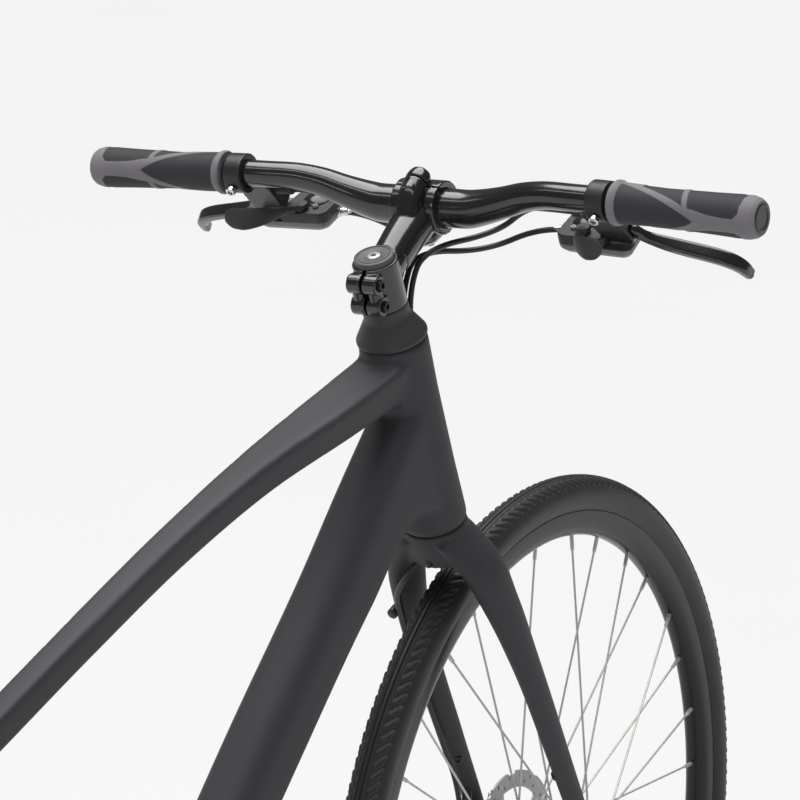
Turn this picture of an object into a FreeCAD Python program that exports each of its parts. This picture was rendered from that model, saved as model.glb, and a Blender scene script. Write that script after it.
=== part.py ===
import FreeCAD, Part
import math
import os
import re
import Sketcher
from FreeCAD import Placement, Rotation, Vector

doc = FreeCAD.newDocument("hybrid_bike")

# Driving sizes in millimetres and degrees, one named cell each
SIZES = [
    ("wheelbase", 1070.0), ("tyre_radius", 348.0), ("tyre_half", 17.8), ("tyre_wall", 3.2),
    ("head_angle", 71.0), ("fork_offset", 46.0), ("axle_to_crown", 400.0), ("steer_turn", 7.0),
    ("bb_drop", 70.0), ("stay_length", 435.0), ("seat_angle", 73.0), ("seat_tube_length", 445.0),
    ("head_length", 176.0), ("head_radius", 28.0), ("head_bore", 23.0), ("bearing_radius", 25.4),
    ("bearing_height", 8.0), ("steerer_radius", 14.3), ("steerer_foot_radius", 19.8),
    ("steerer_length", 246.0),
    ("cover_height", 30.0), ("cover_top_radius", 18.8), ("sleeve_radius", 18.5), ("cap_radius", 16.2),
    ("cap_height", 5.0), ("stem_reach", 73.8), ("stem_rise", 43.6), ("bar_radius", 15.9),
    ("bar_end_radius", 11.1),
    ("bar_half_width", 308.0), ("bar_rise", 18.0), ("grip_length", 128.0), ("grip_radius", 16.2),
    ("clamp_half_width", 20.0), ("clamp_wall", 6.0), ("cable_radius", 2.4),
    ("rim_radius", 317.0), ("rim_half", 11.5), ("rim_bed", 307.0), ("rim_inner", 294.5), ("rim_lip", 2.2),
    ("spoke_radius", 1.0), ("spoke_count", 32), ("flange_radius", 22.5), ("flange_half", 1.6),
    ("front_over", 100.0), ("rear_over", 135.0), ("axle_radius", 4.8), ("skewer_radius", 2.5),
    ("rotor_radius", 80.0), ("rotor_half", 0.9), ("rotor_band", 15.0), ("rotor_inset", 15.3),
    ("seat_tube_radius", 17.4), ("post_radius", 13.6), ("post_length", 320.0), ("post_out", 205.0),
    ("shell_radius", 20.5), ("shell_half", 34.0), ("spindle_radius", 11.0), ("crank_length", 172.5),
    ("crank_angle", -20.0), ("chain_pitch", 12.7), ("chain_line", 47.0), ("big_ring_teeth", 46),
    ("small_ring_teeth", 30), ("pulley_teeth", 11), ("sprocket_pitch", 4.8), ("tooth_half", 0.85),
    ("pedal_length", 96.0), ("pedal_width", 82.0), ("saddle_length", 275.0), ("saddle_half", 76.0),
    ("tube_wall", 2.6), ("gap", 0.3), ("running", 0.05),
]
sheet = doc.addObject("Spreadsheet::Sheet", "sizes")
for row, (name, value) in enumerate(SIZES, 1):
    sheet.set("A%d" % row, name)
    sheet.set("B%d" % row, str(value))
    sheet.setAlias("B%d" % row, name)
doc.recompute()
WORDS = {name for name, value in SIZES}
SPROCKETS = (12, 14, 16, 18, 21, 24, 28, 32)


def full(text):
    """An expression with each size word pointing at its sheet cell."""
    return re.sub(r"[a-z_]+", lambda m: "sizes." + m.group(0) if m.group(0) in WORDS else m.group(0), text)


def v(text):
    """The number that an expression of size words stands for."""
    return float(doc.getObject("sizes").evalExpression(text))


# Main lines of the bike: axles, steering axis, crank axis, seat line
FRONT = Vector(v("wheelbase / 2"), 0, v("tyre_radius"))
REAR = Vector(-FRONT.x, 0, FRONT.z)
TILT = math.radians(v("head_angle"))
UP = Vector(-math.cos(TILT), 0, math.sin(TILT))
AHEAD = Vector(math.sin(TILT), 0, math.cos(TILT))
LEFT = Vector(0, 1, 0)
CROWN = FRONT - AHEAD * v("fork_offset") + UP * math.sqrt(v("axle_to_crown") ** 2 - v("fork_offset") ** 2)
CRANK = Vector(REAR.x + math.sqrt(v("stay_length") ** 2 - v("bb_drop") ** 2), 0, REAR.z - v("bb_drop"))
SEAT = Vector(-math.cos(math.radians(v("seat_angle"))), 0, math.sin(math.radians(v("seat_angle"))))
STEER = Placement(Vector(), Rotation(UP, v("steer_turn")), CROWN)


def head(s, ahead=0.0, side=0.0):
    """A point s up the steering axis from the crown gap, then ahead of it and to the left."""
    return CROWN + UP * s + AHEAD * ahead + LEFT * side


def at(point, direction):
    """A place whose own Z points along a direction."""
    return Placement(point, Rotation(Vector(0, 0, 1), direction))


def new_body(label):
    return doc.addObject("PartDesign::Body", label)


def profile(body, role, points, name="profile"):
    """A closed sketch on one of the body's planes, each corner tied to two expressions."""
    sketch = body.newObject("Sketcher::SketchObject", body.Name + "_" + name)
    base = next(o for o in body.Origin.OriginFeatures if o.Role == role)
    sketch.AttachmentSupport = [(base, "")]
    sketch.MapMode = "FlatFace"
    spots = [Vector(v(a), v(b), 0) for a, b in points]
    count = len(spots)
    for i in range(count):
        sketch.addGeometry(Part.LineSegment(spots[i], spots[(i + 1) % count]), False)
    for i in range(count):
        sketch.addConstraint(Sketcher.Constraint("Coincident", i, 2, (i + 1) % count, 1))
    for i, (a, b) in enumerate(points):
        for kind, text, value in (("DistanceX", a, spots[i].x), ("DistanceY", b, spots[i].y)):
            k = sketch.addConstraint(Sketcher.Constraint(kind, i, 1, value))
            sketch.setExpression("Constraints[%d]" % k, full(text))
    return sketch


def revolved(label, points):
    """A turned piece: corners are (radius, height) about its own Z."""
    body = new_body(label)
    turn = body.newObject("PartDesign::Revolution", label + "_turn")
    turn.Profile = profile(body, "XZ_Plane", points)
    turn.ReferenceAxis = (turn.Profile[0], ["V_Axis"])
    turn.Angle = 360
    body.Tip = turn
    return body


def feature(label, shape, place=None):
    piece = doc.addObject("Part::Feature", label)
    piece.Shape = shape
    if place:
        piece.Placement = place.multiply(piece.Placement)
    return piece


def outline(origin, across, upward, corners):
    """A flat closed wire with rounded corners given as (across, up, radius)."""
    spots = [origin + across * a + upward * b for a, b, r in corners]
    count = len(spots)
    ends = []
    for i in range(count):
        back = (spots[i - 1] - spots[i]).normalize()
        on = (spots[(i + 1) % count] - spots[i]).normalize()
        half = back.getAngle(on) / 2
        r = corners[i][2]
        middle = (back + on).normalize() * (r / math.sin(half) - r)
        ends.append((spots[i] + back * (r / math.tan(half)), spots[i] + middle,
            spots[i] + on * (r / math.tan(half))))
    edges = []
    for i in range(count):
        edges.append(Part.Arc(*ends[i]).toShape())
        edges.append(Part.LineSegment(ends[i][2], ends[(i + 1) % count][0]).toShape())
    return Part.Wire(edges)


def box_section(origin, across, upward, half, low, high, r):
    return outline(origin, across, upward, [(-half, low, r), (half, low, r), (half, high, r),
        (-half, high, r)])


def oval(origin, across, upward, a, b):
    """An ellipse wire with half sizes a across and b upward, seam always on the across side."""
    wire = Part.Wire([Part.makeCircle(1.0)])
    frame = FreeCAD.Matrix()
    third = across.cross(upward)
    for i, axis in enumerate((across * a, upward * b, third)):
        for j, part in enumerate(axis):
            setattr(frame, "A%d%d" % (j + 1, i + 1), part)
    for j, part in enumerate(origin):
        setattr(frame, "A%d4" % (j + 1), part)
    return Part.Wire(wire.transformGeometry(frame).Edges)


def loft(wires, ruled=False):
    return Part.makeLoft(wires, True, ruled)


def rod(a, b, r):
    """A round bar from a to b."""
    return Part.makeCylinder(r, (b - a).Length, a, b - a)


def prism(a, b, r, sides=6):
    """A bar of few sides from a to b."""
    axis = (b - a).normalize()
    side = axis.cross(Vector(0.31, 0.17, 0.93)).normalize()
    over = axis.cross(side)
    turns = [2 * math.pi * i / sides for i in range(sides)]
    spots = [a + side * (r * math.cos(w)) + over * (r * math.sin(w)) for w in turns]
    return Part.Face(Part.makePolygon(spots + spots[:1])).extrude(b - a)


def bent(points, bend, r):
    """A round tube along straight runs joined by tangent arcs of one bend radius."""
    edges = []
    start = points[0]
    for i in range(1, len(points) - 1):
        back = (points[i - 1] - points[i]).normalize()
        on = (points[i + 1] - points[i]).normalize()
        half = back.getAngle(on) / 2
        size = min(bend, 0.45 * math.tan(half) * min((points[i - 1] - points[i]).Length,
            (points[i + 1] - points[i]).Length))
        reach = size / math.tan(half)
        middle = points[i] + (back + on).normalize() * (size / math.sin(half) - size)
        edges.append(Part.LineSegment(start, points[i] + back * reach).toShape())
        edges.append(Part.Arc(points[i] + back * reach, middle, points[i] + on * reach).toShape())
        start = points[i] + on * reach
    edges.append(Part.LineSegment(start, points[-1]).toShape())
    path = Part.Wire(edges)
    ring = Part.Wire([Part.makeCircle(r, points[0], points[1] - points[0])])
    solid = path.makePipeShell([ring], True, False)
    if solid.Volume < 0.97 * math.pi * r * r * path.Length:
        raise ValueError("tube is short of its section times its length")
    return solid


def sprocket(teeth, half, bore):
    """A toothed plate about Z with a tooth gap on +X, sized by the chain pitch."""
    pitch = v("chain_pitch") / (2 * math.sin(math.pi / teeth))
    step = 2 * math.pi / teeth
    spots = []
    for k in range(teeth):
        for part, r in ((-0.17, pitch - 4.2), (0.17, pitch - 4.2), (0.4, pitch + 1.6), (0.6, pitch + 1.6)):
            w = (k + part) * step
            spots.append(Vector(r * math.cos(w), r * math.sin(w), -half))
    plate = Part.Face(Part.makePolygon(spots + spots[:1])).extrude(Vector(0, 0, 2 * half))
    return plate.cut(Part.makeCylinder(bore, 4 * half, Vector(0, 0, -2 * half)))


# Head tube: a turned barrel with a bearing seat at each end
head_tube = revolved("head_tube", [
    ("bearing_radius", "0"), ("head_radius", "0"), ("head_radius - 0.8", "head_length * 0.3"),
    ("head_radius - 0.8", "head_length * 0.7"), ("head_radius + 0.6", "head_length"),
    ("bearing_radius", "head_length"), ("bearing_radius", "head_length - bearing_height"),
    ("head_bore", "head_length - bearing_height"), ("head_bore", "bearing_height"),
    ("bearing_radius", "bearing_height")])
head_tube.Placement = at(head(0.7), UP)
doc.recompute()
barrel = rod(head(0.7), head(0.7 + v("head_length")), v("head_radius - 0.8"))
barrel = barrel.fuse(head_tube.Shape)

# Headset bearings: one ring in each seat of the head tube
rings = []
for foot, bore in ((0.7, v("steerer_foot_radius + running")), (0.7 + v("head_length - bearing_height"),
        20.0)):
    ring = Part.makeCylinder(v("bearing_radius"), v("bearing_height"), head(foot), UP)
    rings.append(ring.cut(Part.makeCylinder(bore, v("bearing_height"), head(foot), UP)))
feature("headset_bearings", Part.makeCompound(rings))


# Down tube: a deep rounded box that flares over the head tube and narrows to the bottom bracket
def local(x, z, side=0.0):
    return CROWN + Vector(x, side, z)


def square_to(a, b):
    """The upward direction square to a line in the bike's middle plane."""
    along = (b - a).normalize()
    return Vector(-along.z, 0, along.x)


shell = rod(CRANK - LEFT * v("shell_half"), CRANK + LEFT * v("shell_half"), v("shell_radius"))
DOWN_KNEE = local(-222, -132)
DOWN_FOOT = CRANK + (DOWN_KNEE - CRANK).normalize() * 6
down_square = square_to(DOWN_KNEE, local(-75, 36.7))
foot_square = square_to(CRANK, DOWN_KNEE)
DOWN_LINE = [
    (DOWN_FOOT, foot_square, 23, -18.5, 18.5, 12), (CRANK + (DOWN_KNEE - CRANK) * 0.13, foot_square, 23.5,
    -21, 21, 13),
    (CRANK + (DOWN_KNEE - CRANK) * 0.5, foot_square, 25.3, -27, 27, 17),
    (DOWN_KNEE, down_square, 26, -30, 30, 20), (local(-130, -26.5), down_square, 26, -31, 30.5, 20),
    (local(-72, 38), down_square, 25.5, -37, 36, 19), (head(66), UP, 24.5, -63, 68, 17)]


def down_loft(stations, skin):
    """The down tube's form over some stations, drawn in all round by a wall thickness."""
    return loft([box_section(o, LEFT, up, half - skin, low + skin, high - skin, r - skin)
        for o, up, half, low, high, r in stations])


down_full = down_loft(DOWN_LINE, 0).cut(barrel).cut(shell)
feature("down_tube", down_full.cut(down_loft(DOWN_LINE[1:-2], v("tube_wall"))))

# Top tube: a flat-topped tube, wide at the head and drawn in towards the seat, with a gentle arch
TOP_LINE = [(-131, 133, 25.5, 33), (-231, 105.5, 19, 30), (-330, 70, 15.5, 29), (-429, 27.5, 14.3, 29),
    (-550, -28, 13.9, 29),
    (-594, -48, 13.8, 29)]


def top_section(origin, upward, half, depth):
    return outline(origin, LEFT, upward, [
        (-half, 0, 5), (-0.62 * half, -depth, 8), (0.62 * half, -depth, 8), (half, 0, 5)])


def top_station(i, skin):
    """One section of the top tube, drawn in all round by a wall thickness."""
    x, z, half, depth = TOP_LINE[i]
    near = TOP_LINE[max(i - 1, 0)]
    far = TOP_LINE[min(i + 1, len(TOP_LINE) - 1)]
    upward = square_to(local(far[0], far[1]), local(near[0], near[1]))
    return top_section(local(x, z) - upward * skin, upward, half - skin, depth - 2 * skin)


post_hole = rod(CRANK, CRANK + SEAT * v("seat_tube_length"), v("seat_tube_radius"))
top_full = loft([top_section(head(165), UP, 26.5, 38)] + [top_station(i, 0) for i in range(len(TOP_LINE))])
top_full = top_full.cut(barrel).cut(down_full).cut(post_hole)
top_inner = loft([top_station(i, v("tube_wall")) for i in range(len(TOP_LINE) - 1)])
feature("top_tube", top_full.cut(top_inner))

# Seat tube with the bottom bracket shell across its foot and two bottle bosses
seat_axis = at(CRANK, SEAT)
tube = post_hole.fuse(shell)
tube = tube.cut(rod(CRANK + SEAT * 60, CRANK + SEAT * v("seat_tube_length + 1"), v("post_radius + running")))
tube = tube.cut(rod(CRANK - LEFT * 40, CRANK + LEFT * 40, v("shell_radius - 3.5")))
SEAT_AHEAD = Vector(SEAT.z, 0, -SEAT.x)
for t in (190.0, 254.0):
    foot = CRANK + SEAT * t + SEAT_AHEAD * v("seat_tube_radius - 3")
    tube = tube.fuse(rod(foot, foot + SEAT_AHEAD * 5, 5.5))
    tube = tube.cut(rod(foot - SEAT_AHEAD * 3, foot + SEAT_AHEAD * 6, 2.5))
feature("seat_tube", tube.cut(down_full))


def plate(origin, across, upward, corners, thick):
    """A flat plate with rounded corners, thick along across x upward."""
    return Part.Face(outline(origin, across, upward, corners)).extrude(across.cross(upward) * thick)


FORWARD = Vector(1, 0, 0)
HIGH = Vector(0, 0, 1)

# Chainstays: two tapering stays, a bridge, and slotted dropouts with the gear hanger on the right
REAR_FACE = v("rear_over / 2")
DROPOUT = 6.0
stay_rise = (REAR.z - CRANK.z) / (REAR.x - CRANK.x)


def stay_point(x, side):
    return Vector(x, side, CRANK.z + stay_rise * (x - CRANK.x))


stays = rod(stay_point(CRANK.x - 55, -30), stay_point(CRANK.x - 55, 30), 6.0)
axle_slot = rod(REAR - LEFT * 90, REAR + LEFT * 90, v("axle_radius + running"))
axle_slot = axle_slot.fuse(Part.makeBox(2 * v("axle_radius + running"), 180, 40,
    REAR - Vector(v("axle_radius + running"), 90, 40)))
dropouts = []
for side in (1, -1):
    line = [(CRANK.x - 12, 22, 9, 13, 6), (CRANK.x - 85, 33.5, 6.5, 11, 5), (CRANK.x - 225, 52, 7, 10, 5),
        (REAR.x + 24, 70.5, 4.6, 8.5, 4)]
    stays = stays.fuse(loft([box_section(stay_point(x, side * y), LEFT, HIGH, w, -h, h, r)
        for x, y, w, h, r in line]))
    start = REAR + LEFT * (side * REAR_FACE + (DROPOUT if side > 0 else 0))
    dropouts.append(plate(start, FORWARD, HIGH, [
        (-9, -22, 5), (12, -22, 5), (34, -13, 5), (34, 8, 6), (22, 36, 6), (6, 36, 6), (-17, 14, 10)],
        DROPOUT))
hanger = plate(REAR - LEFT * REAR_FACE, FORWARD, HIGH, [(-19, -36, 8), (1, -36, 8), (1, -14, 2), (-19, 2, 4)],
    DROPOUT)
stays = stays.fuse(dropouts + [hanger]).cut(shell).cut(axle_slot)
HANGER = REAR + Vector(-9, -REAR_FACE, -27)
stays = stays.cut(rod(HANGER - LEFT * 10, HANGER + LEFT * 10, 5.0))
for side in (1, -1):
    eyelet = REAR + Vector(14, side * REAR_FACE, 26)
    stays = stays.cut(rod(eyelet - LEFT * 20, eyelet + LEFT * 20, 2.5))
feature("chainstays", stays.removeSplitter())

# Seatstays: two slim stays from the dropouts to the seat tube with a bridge over the tyre
bridge = Vector(CRANK.x - 156, 0, CRANK.z + 334)
upper = rod(bridge - LEFT * 28, bridge + LEFT * 28, 6.0)
lean = square_to(REAR, Vector(CRANK.x - 115, 0, CRANK.z + 372))
for side in (1, -1):
    line = [(REAR + Vector(18, side * 70.5, 33), 2.9, 7), (Vector(CRANK.x - 186, side * 39, CRANK.z + 309),
        5.5, 8), (CRANK + SEAT * 388 + LEFT * (side * 14), 6, 9.5)]
    upper = upper.fuse(loft([box_section(o, LEFT, lean, w, -h, h, 2.5) for o, w, h in line]))
upper = upper.cut(post_hole).cut(Part.makeCompound(dropouts)).cut(top_full)
feature("seatstays", Part.makeCompound(sorted(upper.Solids, key=lambda s: -s.Volume)[:1]))

# Bottom bracket: a sealed barrel with a flange outside each end of the shell
bottom_bracket = revolved("bottom_bracket", [
    ("spindle_radius + running", "-shell_half - 3"), ("shell_radius - 1.5", "-shell_half - 3"),
    ("shell_radius - 1.5", "-shell_half"), ("shell_radius - 3.5", "-shell_half"),
    ("shell_radius - 3.5", "shell_half"),
    ("shell_radius - 1.5", "shell_half"), ("shell_radius - 1.5", "shell_half + 3"),
    ("spindle_radius + running", "shell_half + 3")])
bottom_bracket.Placement = at(CRANK, LEFT)

# Seat clamp: a split collar with a pinch bolt behind the seat tube
collar_foot = CRANK + SEAT * v("seat_tube_length - 14")
collar = rod(collar_foot, collar_foot + SEAT * 14, v("seat_tube_radius + 4"))
lug = Part.makeBox(16, 15, 13, Vector(-v("seat_tube_radius") - 13, -7.5, 0.5))
lug.Placement = seat_axis.multiply(Placement(Vector(0, 0, v("seat_tube_length - 14")), Rotation()))
collar = collar.fuse(lug).cut(rod(collar_foot - SEAT, collar_foot + SEAT * 15, v("seat_tube_radius")))
slit = Part.makeBox(20, 2, 20, Vector(-v("seat_tube_radius") - 16, -1, -2))
slit.Placement = lug.Placement
pinch = collar_foot + SEAT * 7 - SEAT_AHEAD * v("seat_tube_radius + 8")
collar = collar.cut(slit).fuse(rod(pinch - LEFT * 10, pinch + LEFT * 10, 2.5)).fuse(rod(pinch + LEFT * 7.5,
    pinch + LEFT * 12, 4.2))
feature("seat_clamp", collar.cut(top_full))

# Saddle: two steel rails, a moulded base and a crowned cushion with a centre channel
POST_TOP = CRANK + SEAT * v("seat_tube_length + post_out")
NOSE = POST_TOP + Vector(v("saddle_length") * 0.48, 0, 48)
rails = []
for side in (1, -1):
    spots = [(-28, 7, -4), (-66, 20, -29), (-72, 22, -29), (-190, 22, -29), (-232, 30, -7)]
    rails.append(bent([NOSE + Vector(x, side * y, z) for x, y, z in spots], 22, 3.5))
rail_pair = Part.makeCompound(rails)
feature("saddle_rails", rail_pair)
SADDLE_LINE = [
    (0.012, 0.16, 2, 15), (0.12, 0.25, -7, 22), (0.40, 0.36, -11, 25), (0.62, 0.64, -12, 29),
    (0.80, 0.97, -10, 34),
    (0.95, 0.94, -2, 36), (1.0, 0.78, 8, 33)]


def saddle_section(part, wide, under, crown):
    """A crowned section with drawn-in sides, part of the way from nose to tail."""
    half = wide * v("saddle_half")
    shoulder = under + 0.6 * (crown - under)
    return outline(NOSE - FORWARD * (part * v("saddle_length")), LEFT, HIGH, [
        (-0.93 * half, under, 2), (0.93 * half, under, 2), (half, shoulder, 0.12 * half),
        (0.5 * half, crown, 0.2 * half),
        (-0.5 * half, crown, 0.2 * half), (-half, shoulder, 0.12 * half)])


base_sections = []
for part, wide, under, crown in SADDLE_LINE:
    half = wide * v("saddle_half - 6")
    base_sections.append(box_section(NOSE - FORWARD * (part * (v("saddle_length") - 8) + 4), LEFT, HIGH, half,
        under - 1.5, under + 6, 2.5))
base_solid = loft(base_sections)
feature("saddle_base", base_solid.cut(rail_pair))
channel = loft([oval(NOSE - FORWARD * (part * v("saddle_length")) + HIGH * rise, LEFT, HIGH, wide, 4.5)
    for part, wide, rise in (
    (0.3, 4, 26), (0.5, 8, 27.5), (0.75, 9, 33), (0.96, 6, 38))])
cushion = loft([saddle_section(*station) for station in SADDLE_LINE])
feature("saddle_cushion", cushion.cut(base_solid).cut(channel).cut(rail_pair))

# Seatpost: a round post with a yoke that grips the rails between two plates
post_foot = CRANK + SEAT * v("seat_tube_length + post_out - post_length")
post = rod(post_foot, POST_TOP + SEAT * 6, v("post_radius"))
yoke = POST_TOP + Vector(0, 0, 19)
for low, high, half in ((-14, 0, 17), (0, 9, 20)):
    post = post.fuse(plate(yoke + Vector(0, 30, low), FORWARD, HIGH,
        [(-half, 0, 3), (half, 0, 3), (half, high - low, 3), (-half, high - low, 3)], 60))
post = post.cut(rod(post_foot - SEAT, POST_TOP - SEAT * 20, v("post_radius - 2.2"))).cut(rail_pair)
feature("seatpost", post.removeSplitter())


# Wheels: hooked rim, 32 tangent spokes in flanged hub, tyre and bolted rotor
def spoke_set(left, right):
    """Spokes about Z, crossing three times, each hooked through its flange and let into the rim."""
    spokes = []
    step = 720.0 / v("spoke_count")
    for flange, shift in ((left, 0.0), (-right, 0.5)):
        for j in range(int(v("spoke_count")) // 2):
            lead = 1 if j % 2 == 0 else -1
            w = math.radians((j + shift) * step)
            far = w + lead * math.radians(3 * step)
            r = v("flange_radius") - 3.2
            over = lead * math.copysign(v("flange_half + spoke_radius"), flange)
            start = Vector(r * math.cos(w), r * math.sin(w), flange + over)
            rim = Vector(v("rim_bed - 3") * math.cos(far), v("rim_bed - 3") * math.sin(far),
                math.copysign(1.5, flange))
            hook = start - Vector(0, 0, math.copysign(2 * v("flange_half") + 2.4, over))
            spokes.append(prism(start, rim, v("spoke_radius")).fuse(prism(start, hook, v("spoke_radius"))))
    return Part.makeCompound(spokes)


def rotor_shape(z):
    """A perforated brake disc on six leaning arms, bolted to the hub at height z."""
    half = v("rotor_half")
    r = v("rotor_radius")
    foot = Vector(0, 0, z - half)
    disc = Part.makeCylinder(r, 2 * half, foot).cut(Part.makeCylinder(r - v("rotor_band"), 2 * half, foot))
    core = Part.makeCylinder(27, 2 * half, foot)
    for k in range(6):
        w = math.radians(60 * k)
        out = Vector(math.cos(w), math.sin(w), 0)
        over = Vector(-math.sin(w), math.cos(w), 0)
        core = core.fuse(plate(foot, out, over, [(20, -4, 2), (r - 12, 18, 2), (r - 12, 26, 2), (20, 5, 2)],
            2 * half))
    disc = disc.fuse(core.common(Part.makeCylinder(r - 6, 2 * half, foot))).cut(Part.makeCylinder(17,
        2 * half, foot))
    holes = []
    for k in range(24):
        w = math.radians(15 * k)
        for deep, turn in ((4.6, 0.0), (10.2, 0.13)):
            spot = Vector((r - deep) * math.cos(w + turn), (r - deep) * math.sin(w + turn), z - 3)
            holes.append(prism(spot, spot + Vector(0, 0, 6), 2.1))
    for k in range(12):
        w = math.radians(30 * k + 3.7)
        holes.append(Part.makeCylinder(9, 4 * half, Vector((r + 6) * math.cos(w), (r + 6) * math.sin(w),
            z - 2 * half)))
    disc = disc.cut(Part.makeCompound(holes))
    bolts = []
    for k in range(6):
        w = math.radians(60 * k + 22)
        spot = Vector(22 * math.cos(w), 22 * math.sin(w), z + half)
        bolts.append(prism(spot, spot + Vector(0, 0, 2.6), 3.4))
    return Part.makeCompound([disc.removeSplitter()] + bolts)


def wheel(name, over, left, right, hub_points, place):
    spokes = spoke_set(left, right)
    feature(name + "_spokes", spokes, place)
    blank = revolved(name + "_rim_blank", [
        ("rim_radius", "rim_half"), ("rim_radius - 12", "rim_half"), ("rim_inner + 3", "rim_half - 4"),
        ("rim_inner", "3.5"),
        ("rim_inner", "-3.5"), ("rim_inner + 3", "4 - rim_half"), ("rim_radius - 12", "-rim_half"),
        ("rim_radius", "-rim_half"),
        ("rim_radius", "rim_lip - rim_half"), ("rim_bed + 3", "rim_lip - rim_half"), ("rim_bed", "-4"),
        ("rim_bed", "4"),
        ("rim_bed + 3", "rim_half - rim_lip"), ("rim_radius", "rim_half - rim_lip")])
    barrel_blank = revolved(name + "_hub_blank", hub_points)
    doc.recompute()
    rim = blank.Shape
    feature(name + "_rim", rim.cut(spokes), place)
    feature(name + "_hub", barrel_blank.Shape.cut(spokes), place)
    middle = v("tyre_radius - tyre_half")
    casing = Part.makeTorus(middle, v("tyre_half")).cut(Part.makeTorus(middle, v("tyre_half - tyre_wall")))
    feature(name + "_tyre", casing.cut(rim), place)
    feature(name + "_rotor", rotor_shape(over / 2 - v("rotor_inset")), place)


def hub_profile(half, left, right, waist, sleeve):
    """Hub corners: right end, flange, waist, flange, rotor boss, left end."""
    end = "%s - 3 - gap" % half
    boss = "%s - rotor_inset - rotor_half" % half
    edge = "flange_half"
    return [
        ("axle_radius + running", "-(%s)" % end), (sleeve, "-(%s)" % end),
        (sleeve, "-%s - %s" % (right, edge)),
        ("flange_radius", "-%s - %s" % (right, edge)), ("flange_radius", "-%s + %s" % (right, edge)),
        (waist, "-%s + 6" % right),
        (waist, "%s - 6" % left), ("flange_radius", "%s - %s" % (left, edge)),
        ("flange_radius", "%s + %s" % (left, edge)),
        ("16", "%s + %s" % (left, edge)), ("16", "%s - 5" % boss), ("26.5", "%s - 5" % boss), ("26.5", boss),
        ("16.9", boss), ("16.9", "%s + 3" % boss), ("9.5", "%s + 3" % boss), ("9.5", end),
        ("axle_radius + running", end)]


FRONT_PLACE = STEER.multiply(at(FRONT, LEFT))
REAR_PLACE = at(REAR, LEFT)
wheel("front", v("front_over"), 22.0, 34.0, hub_profile("front_over / 2", "22", "34", "11", "9.5"),
    FRONT_PLACE)
wheel("rear", v("rear_over"), 33.0, 19.0, hub_profile("rear_over / 2", "33", "19", "13", "12"), REAR_PLACE)


# Axles: a hollow axle with locknuts, a skewer with its nut on the right and a cam lever on the left
def axle_set(name, over, dropout, place, lean_turn):
    half = over / 2
    out = half + dropout
    axle = Part.makeCylinder(v("axle_radius"), over + 2 * dropout - 2, Vector(0, 0, -half - dropout + 1))
    axle = axle.cut(Part.makeCylinder(v("skewer_radius"), 2 * over, Vector(0, 0, -over)))
    for z in (-half, half - 3):
        nut = Part.makeCylinder(8.5, 3, Vector(0, 0, z))
        axle = axle.fuse(nut.cut(Part.makeCylinder(v("axle_radius"), 3, Vector(0, 0, z))))
    axle = axle.removeSplitter()
    skewer = Part.makeCylinder(v("skewer_radius"), 2 * out + 16, Vector(0, 0, -out - 9))
    skewer = skewer.fuse(Part.makeCone(9.5, 6.5, 10, Vector(0, 0, -out), Vector(0, 0, -1)))
    skewer = skewer.fuse(Part.makeCylinder(9, 9, Vector(0, 0, out)))
    feature(name + "_axle", Part.makeCompound([axle, skewer.removeSplitter()]), place)
    hinge = Vector(0, 0, out + 9 + 6.5)
    turn = Placement(Vector(), Rotation(Vector(0, 0, 1), lean_turn))
    cam = Part.makeCylinder(6, 12, hinge - Vector(6, 0, 0), Vector(1, 0, 0))
    across = Vector(1, 0, 0)
    blade = loft([
        box_section(hinge, across, Vector(0, 0, 1), 5.5, -4, 4, 2),
        box_section(hinge - Vector(0, 14, 1), across, Vector(0, 0, 1), 6, -3.5, 3.5, 2),
        box_section(hinge - Vector(0, 34, 6), across, Vector(0, 0, 1), 7.5, -2.5, 2.5, 1.8),
        box_section(hinge - Vector(0, 55, 7), across, Vector(0, 0, 1), 5.5, -2, 2, 1.5)])
    lever = cam.fuse(blade).removeSplitter()
    feature(name + "_axle_lever", lever, place.multiply(turn))


axle_set("front", v("front_over"), DROPOUT, FRONT_PLACE, 25.0)
axle_set("rear", v("rear_over"), DROPOUT, REAR_PLACE, -20)

# Fork: tapered steerer, broad crown and two bladed legs with slotted dropouts
FORK_LINE = [
    (-12, 0, 22, 20, 11), (-40, 1.5, 36.5, 20.5, 12.3), (-80, 5, 44.5, 18.5, 11.5),
    (-140, 12, 49.3, 15.5, 10),
    (-250, 27, 52, 12.5, 8.5), (-345, 40, 53, 10.5, 6.4), (-384, 45.5, 53, 9.5, 2.8)]
FORK_FACE = v("front_over / 2")
fork = rod(head(-6), head(v("steerer_length")), v("steerer_radius"))
fork = fork.fuse(rod(head(-6), head(0.7 + v("bearing_height")), v("steerer_foot_radius")))
fork = fork.fuse(Part.makeCone(v("steerer_foot_radius"), v("steerer_radius"), 34,
    head(0.7 + v("bearing_height")), UP))
fork = fork.fuse(loft([
    oval(head(0.7 - v("gap")), LEFT, AHEAD, 26.8, 26.8), oval(head(-10), LEFT, AHEAD, 29.5, 26.5),
    oval(head(-24), LEFT, AHEAD, 37, 24), oval(head(-36), LEFT, AHEAD, 43, 20)]))
fork_slot = rod(FRONT - LEFT * 80, FRONT + LEFT * 80, v("axle_radius + running"))
fork_slot = fork_slot.fuse(plate(FRONT + LEFT * 80, AHEAD, UP, [
    (-v("axle_radius + running"), -40, 0.1), (v("axle_radius + running"), -40, 0.1),
    (v("axle_radius + running"), 0, 0.1), (-v("axle_radius + running"), 0, 0.1)], 160))
EYELET = -168.0
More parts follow.
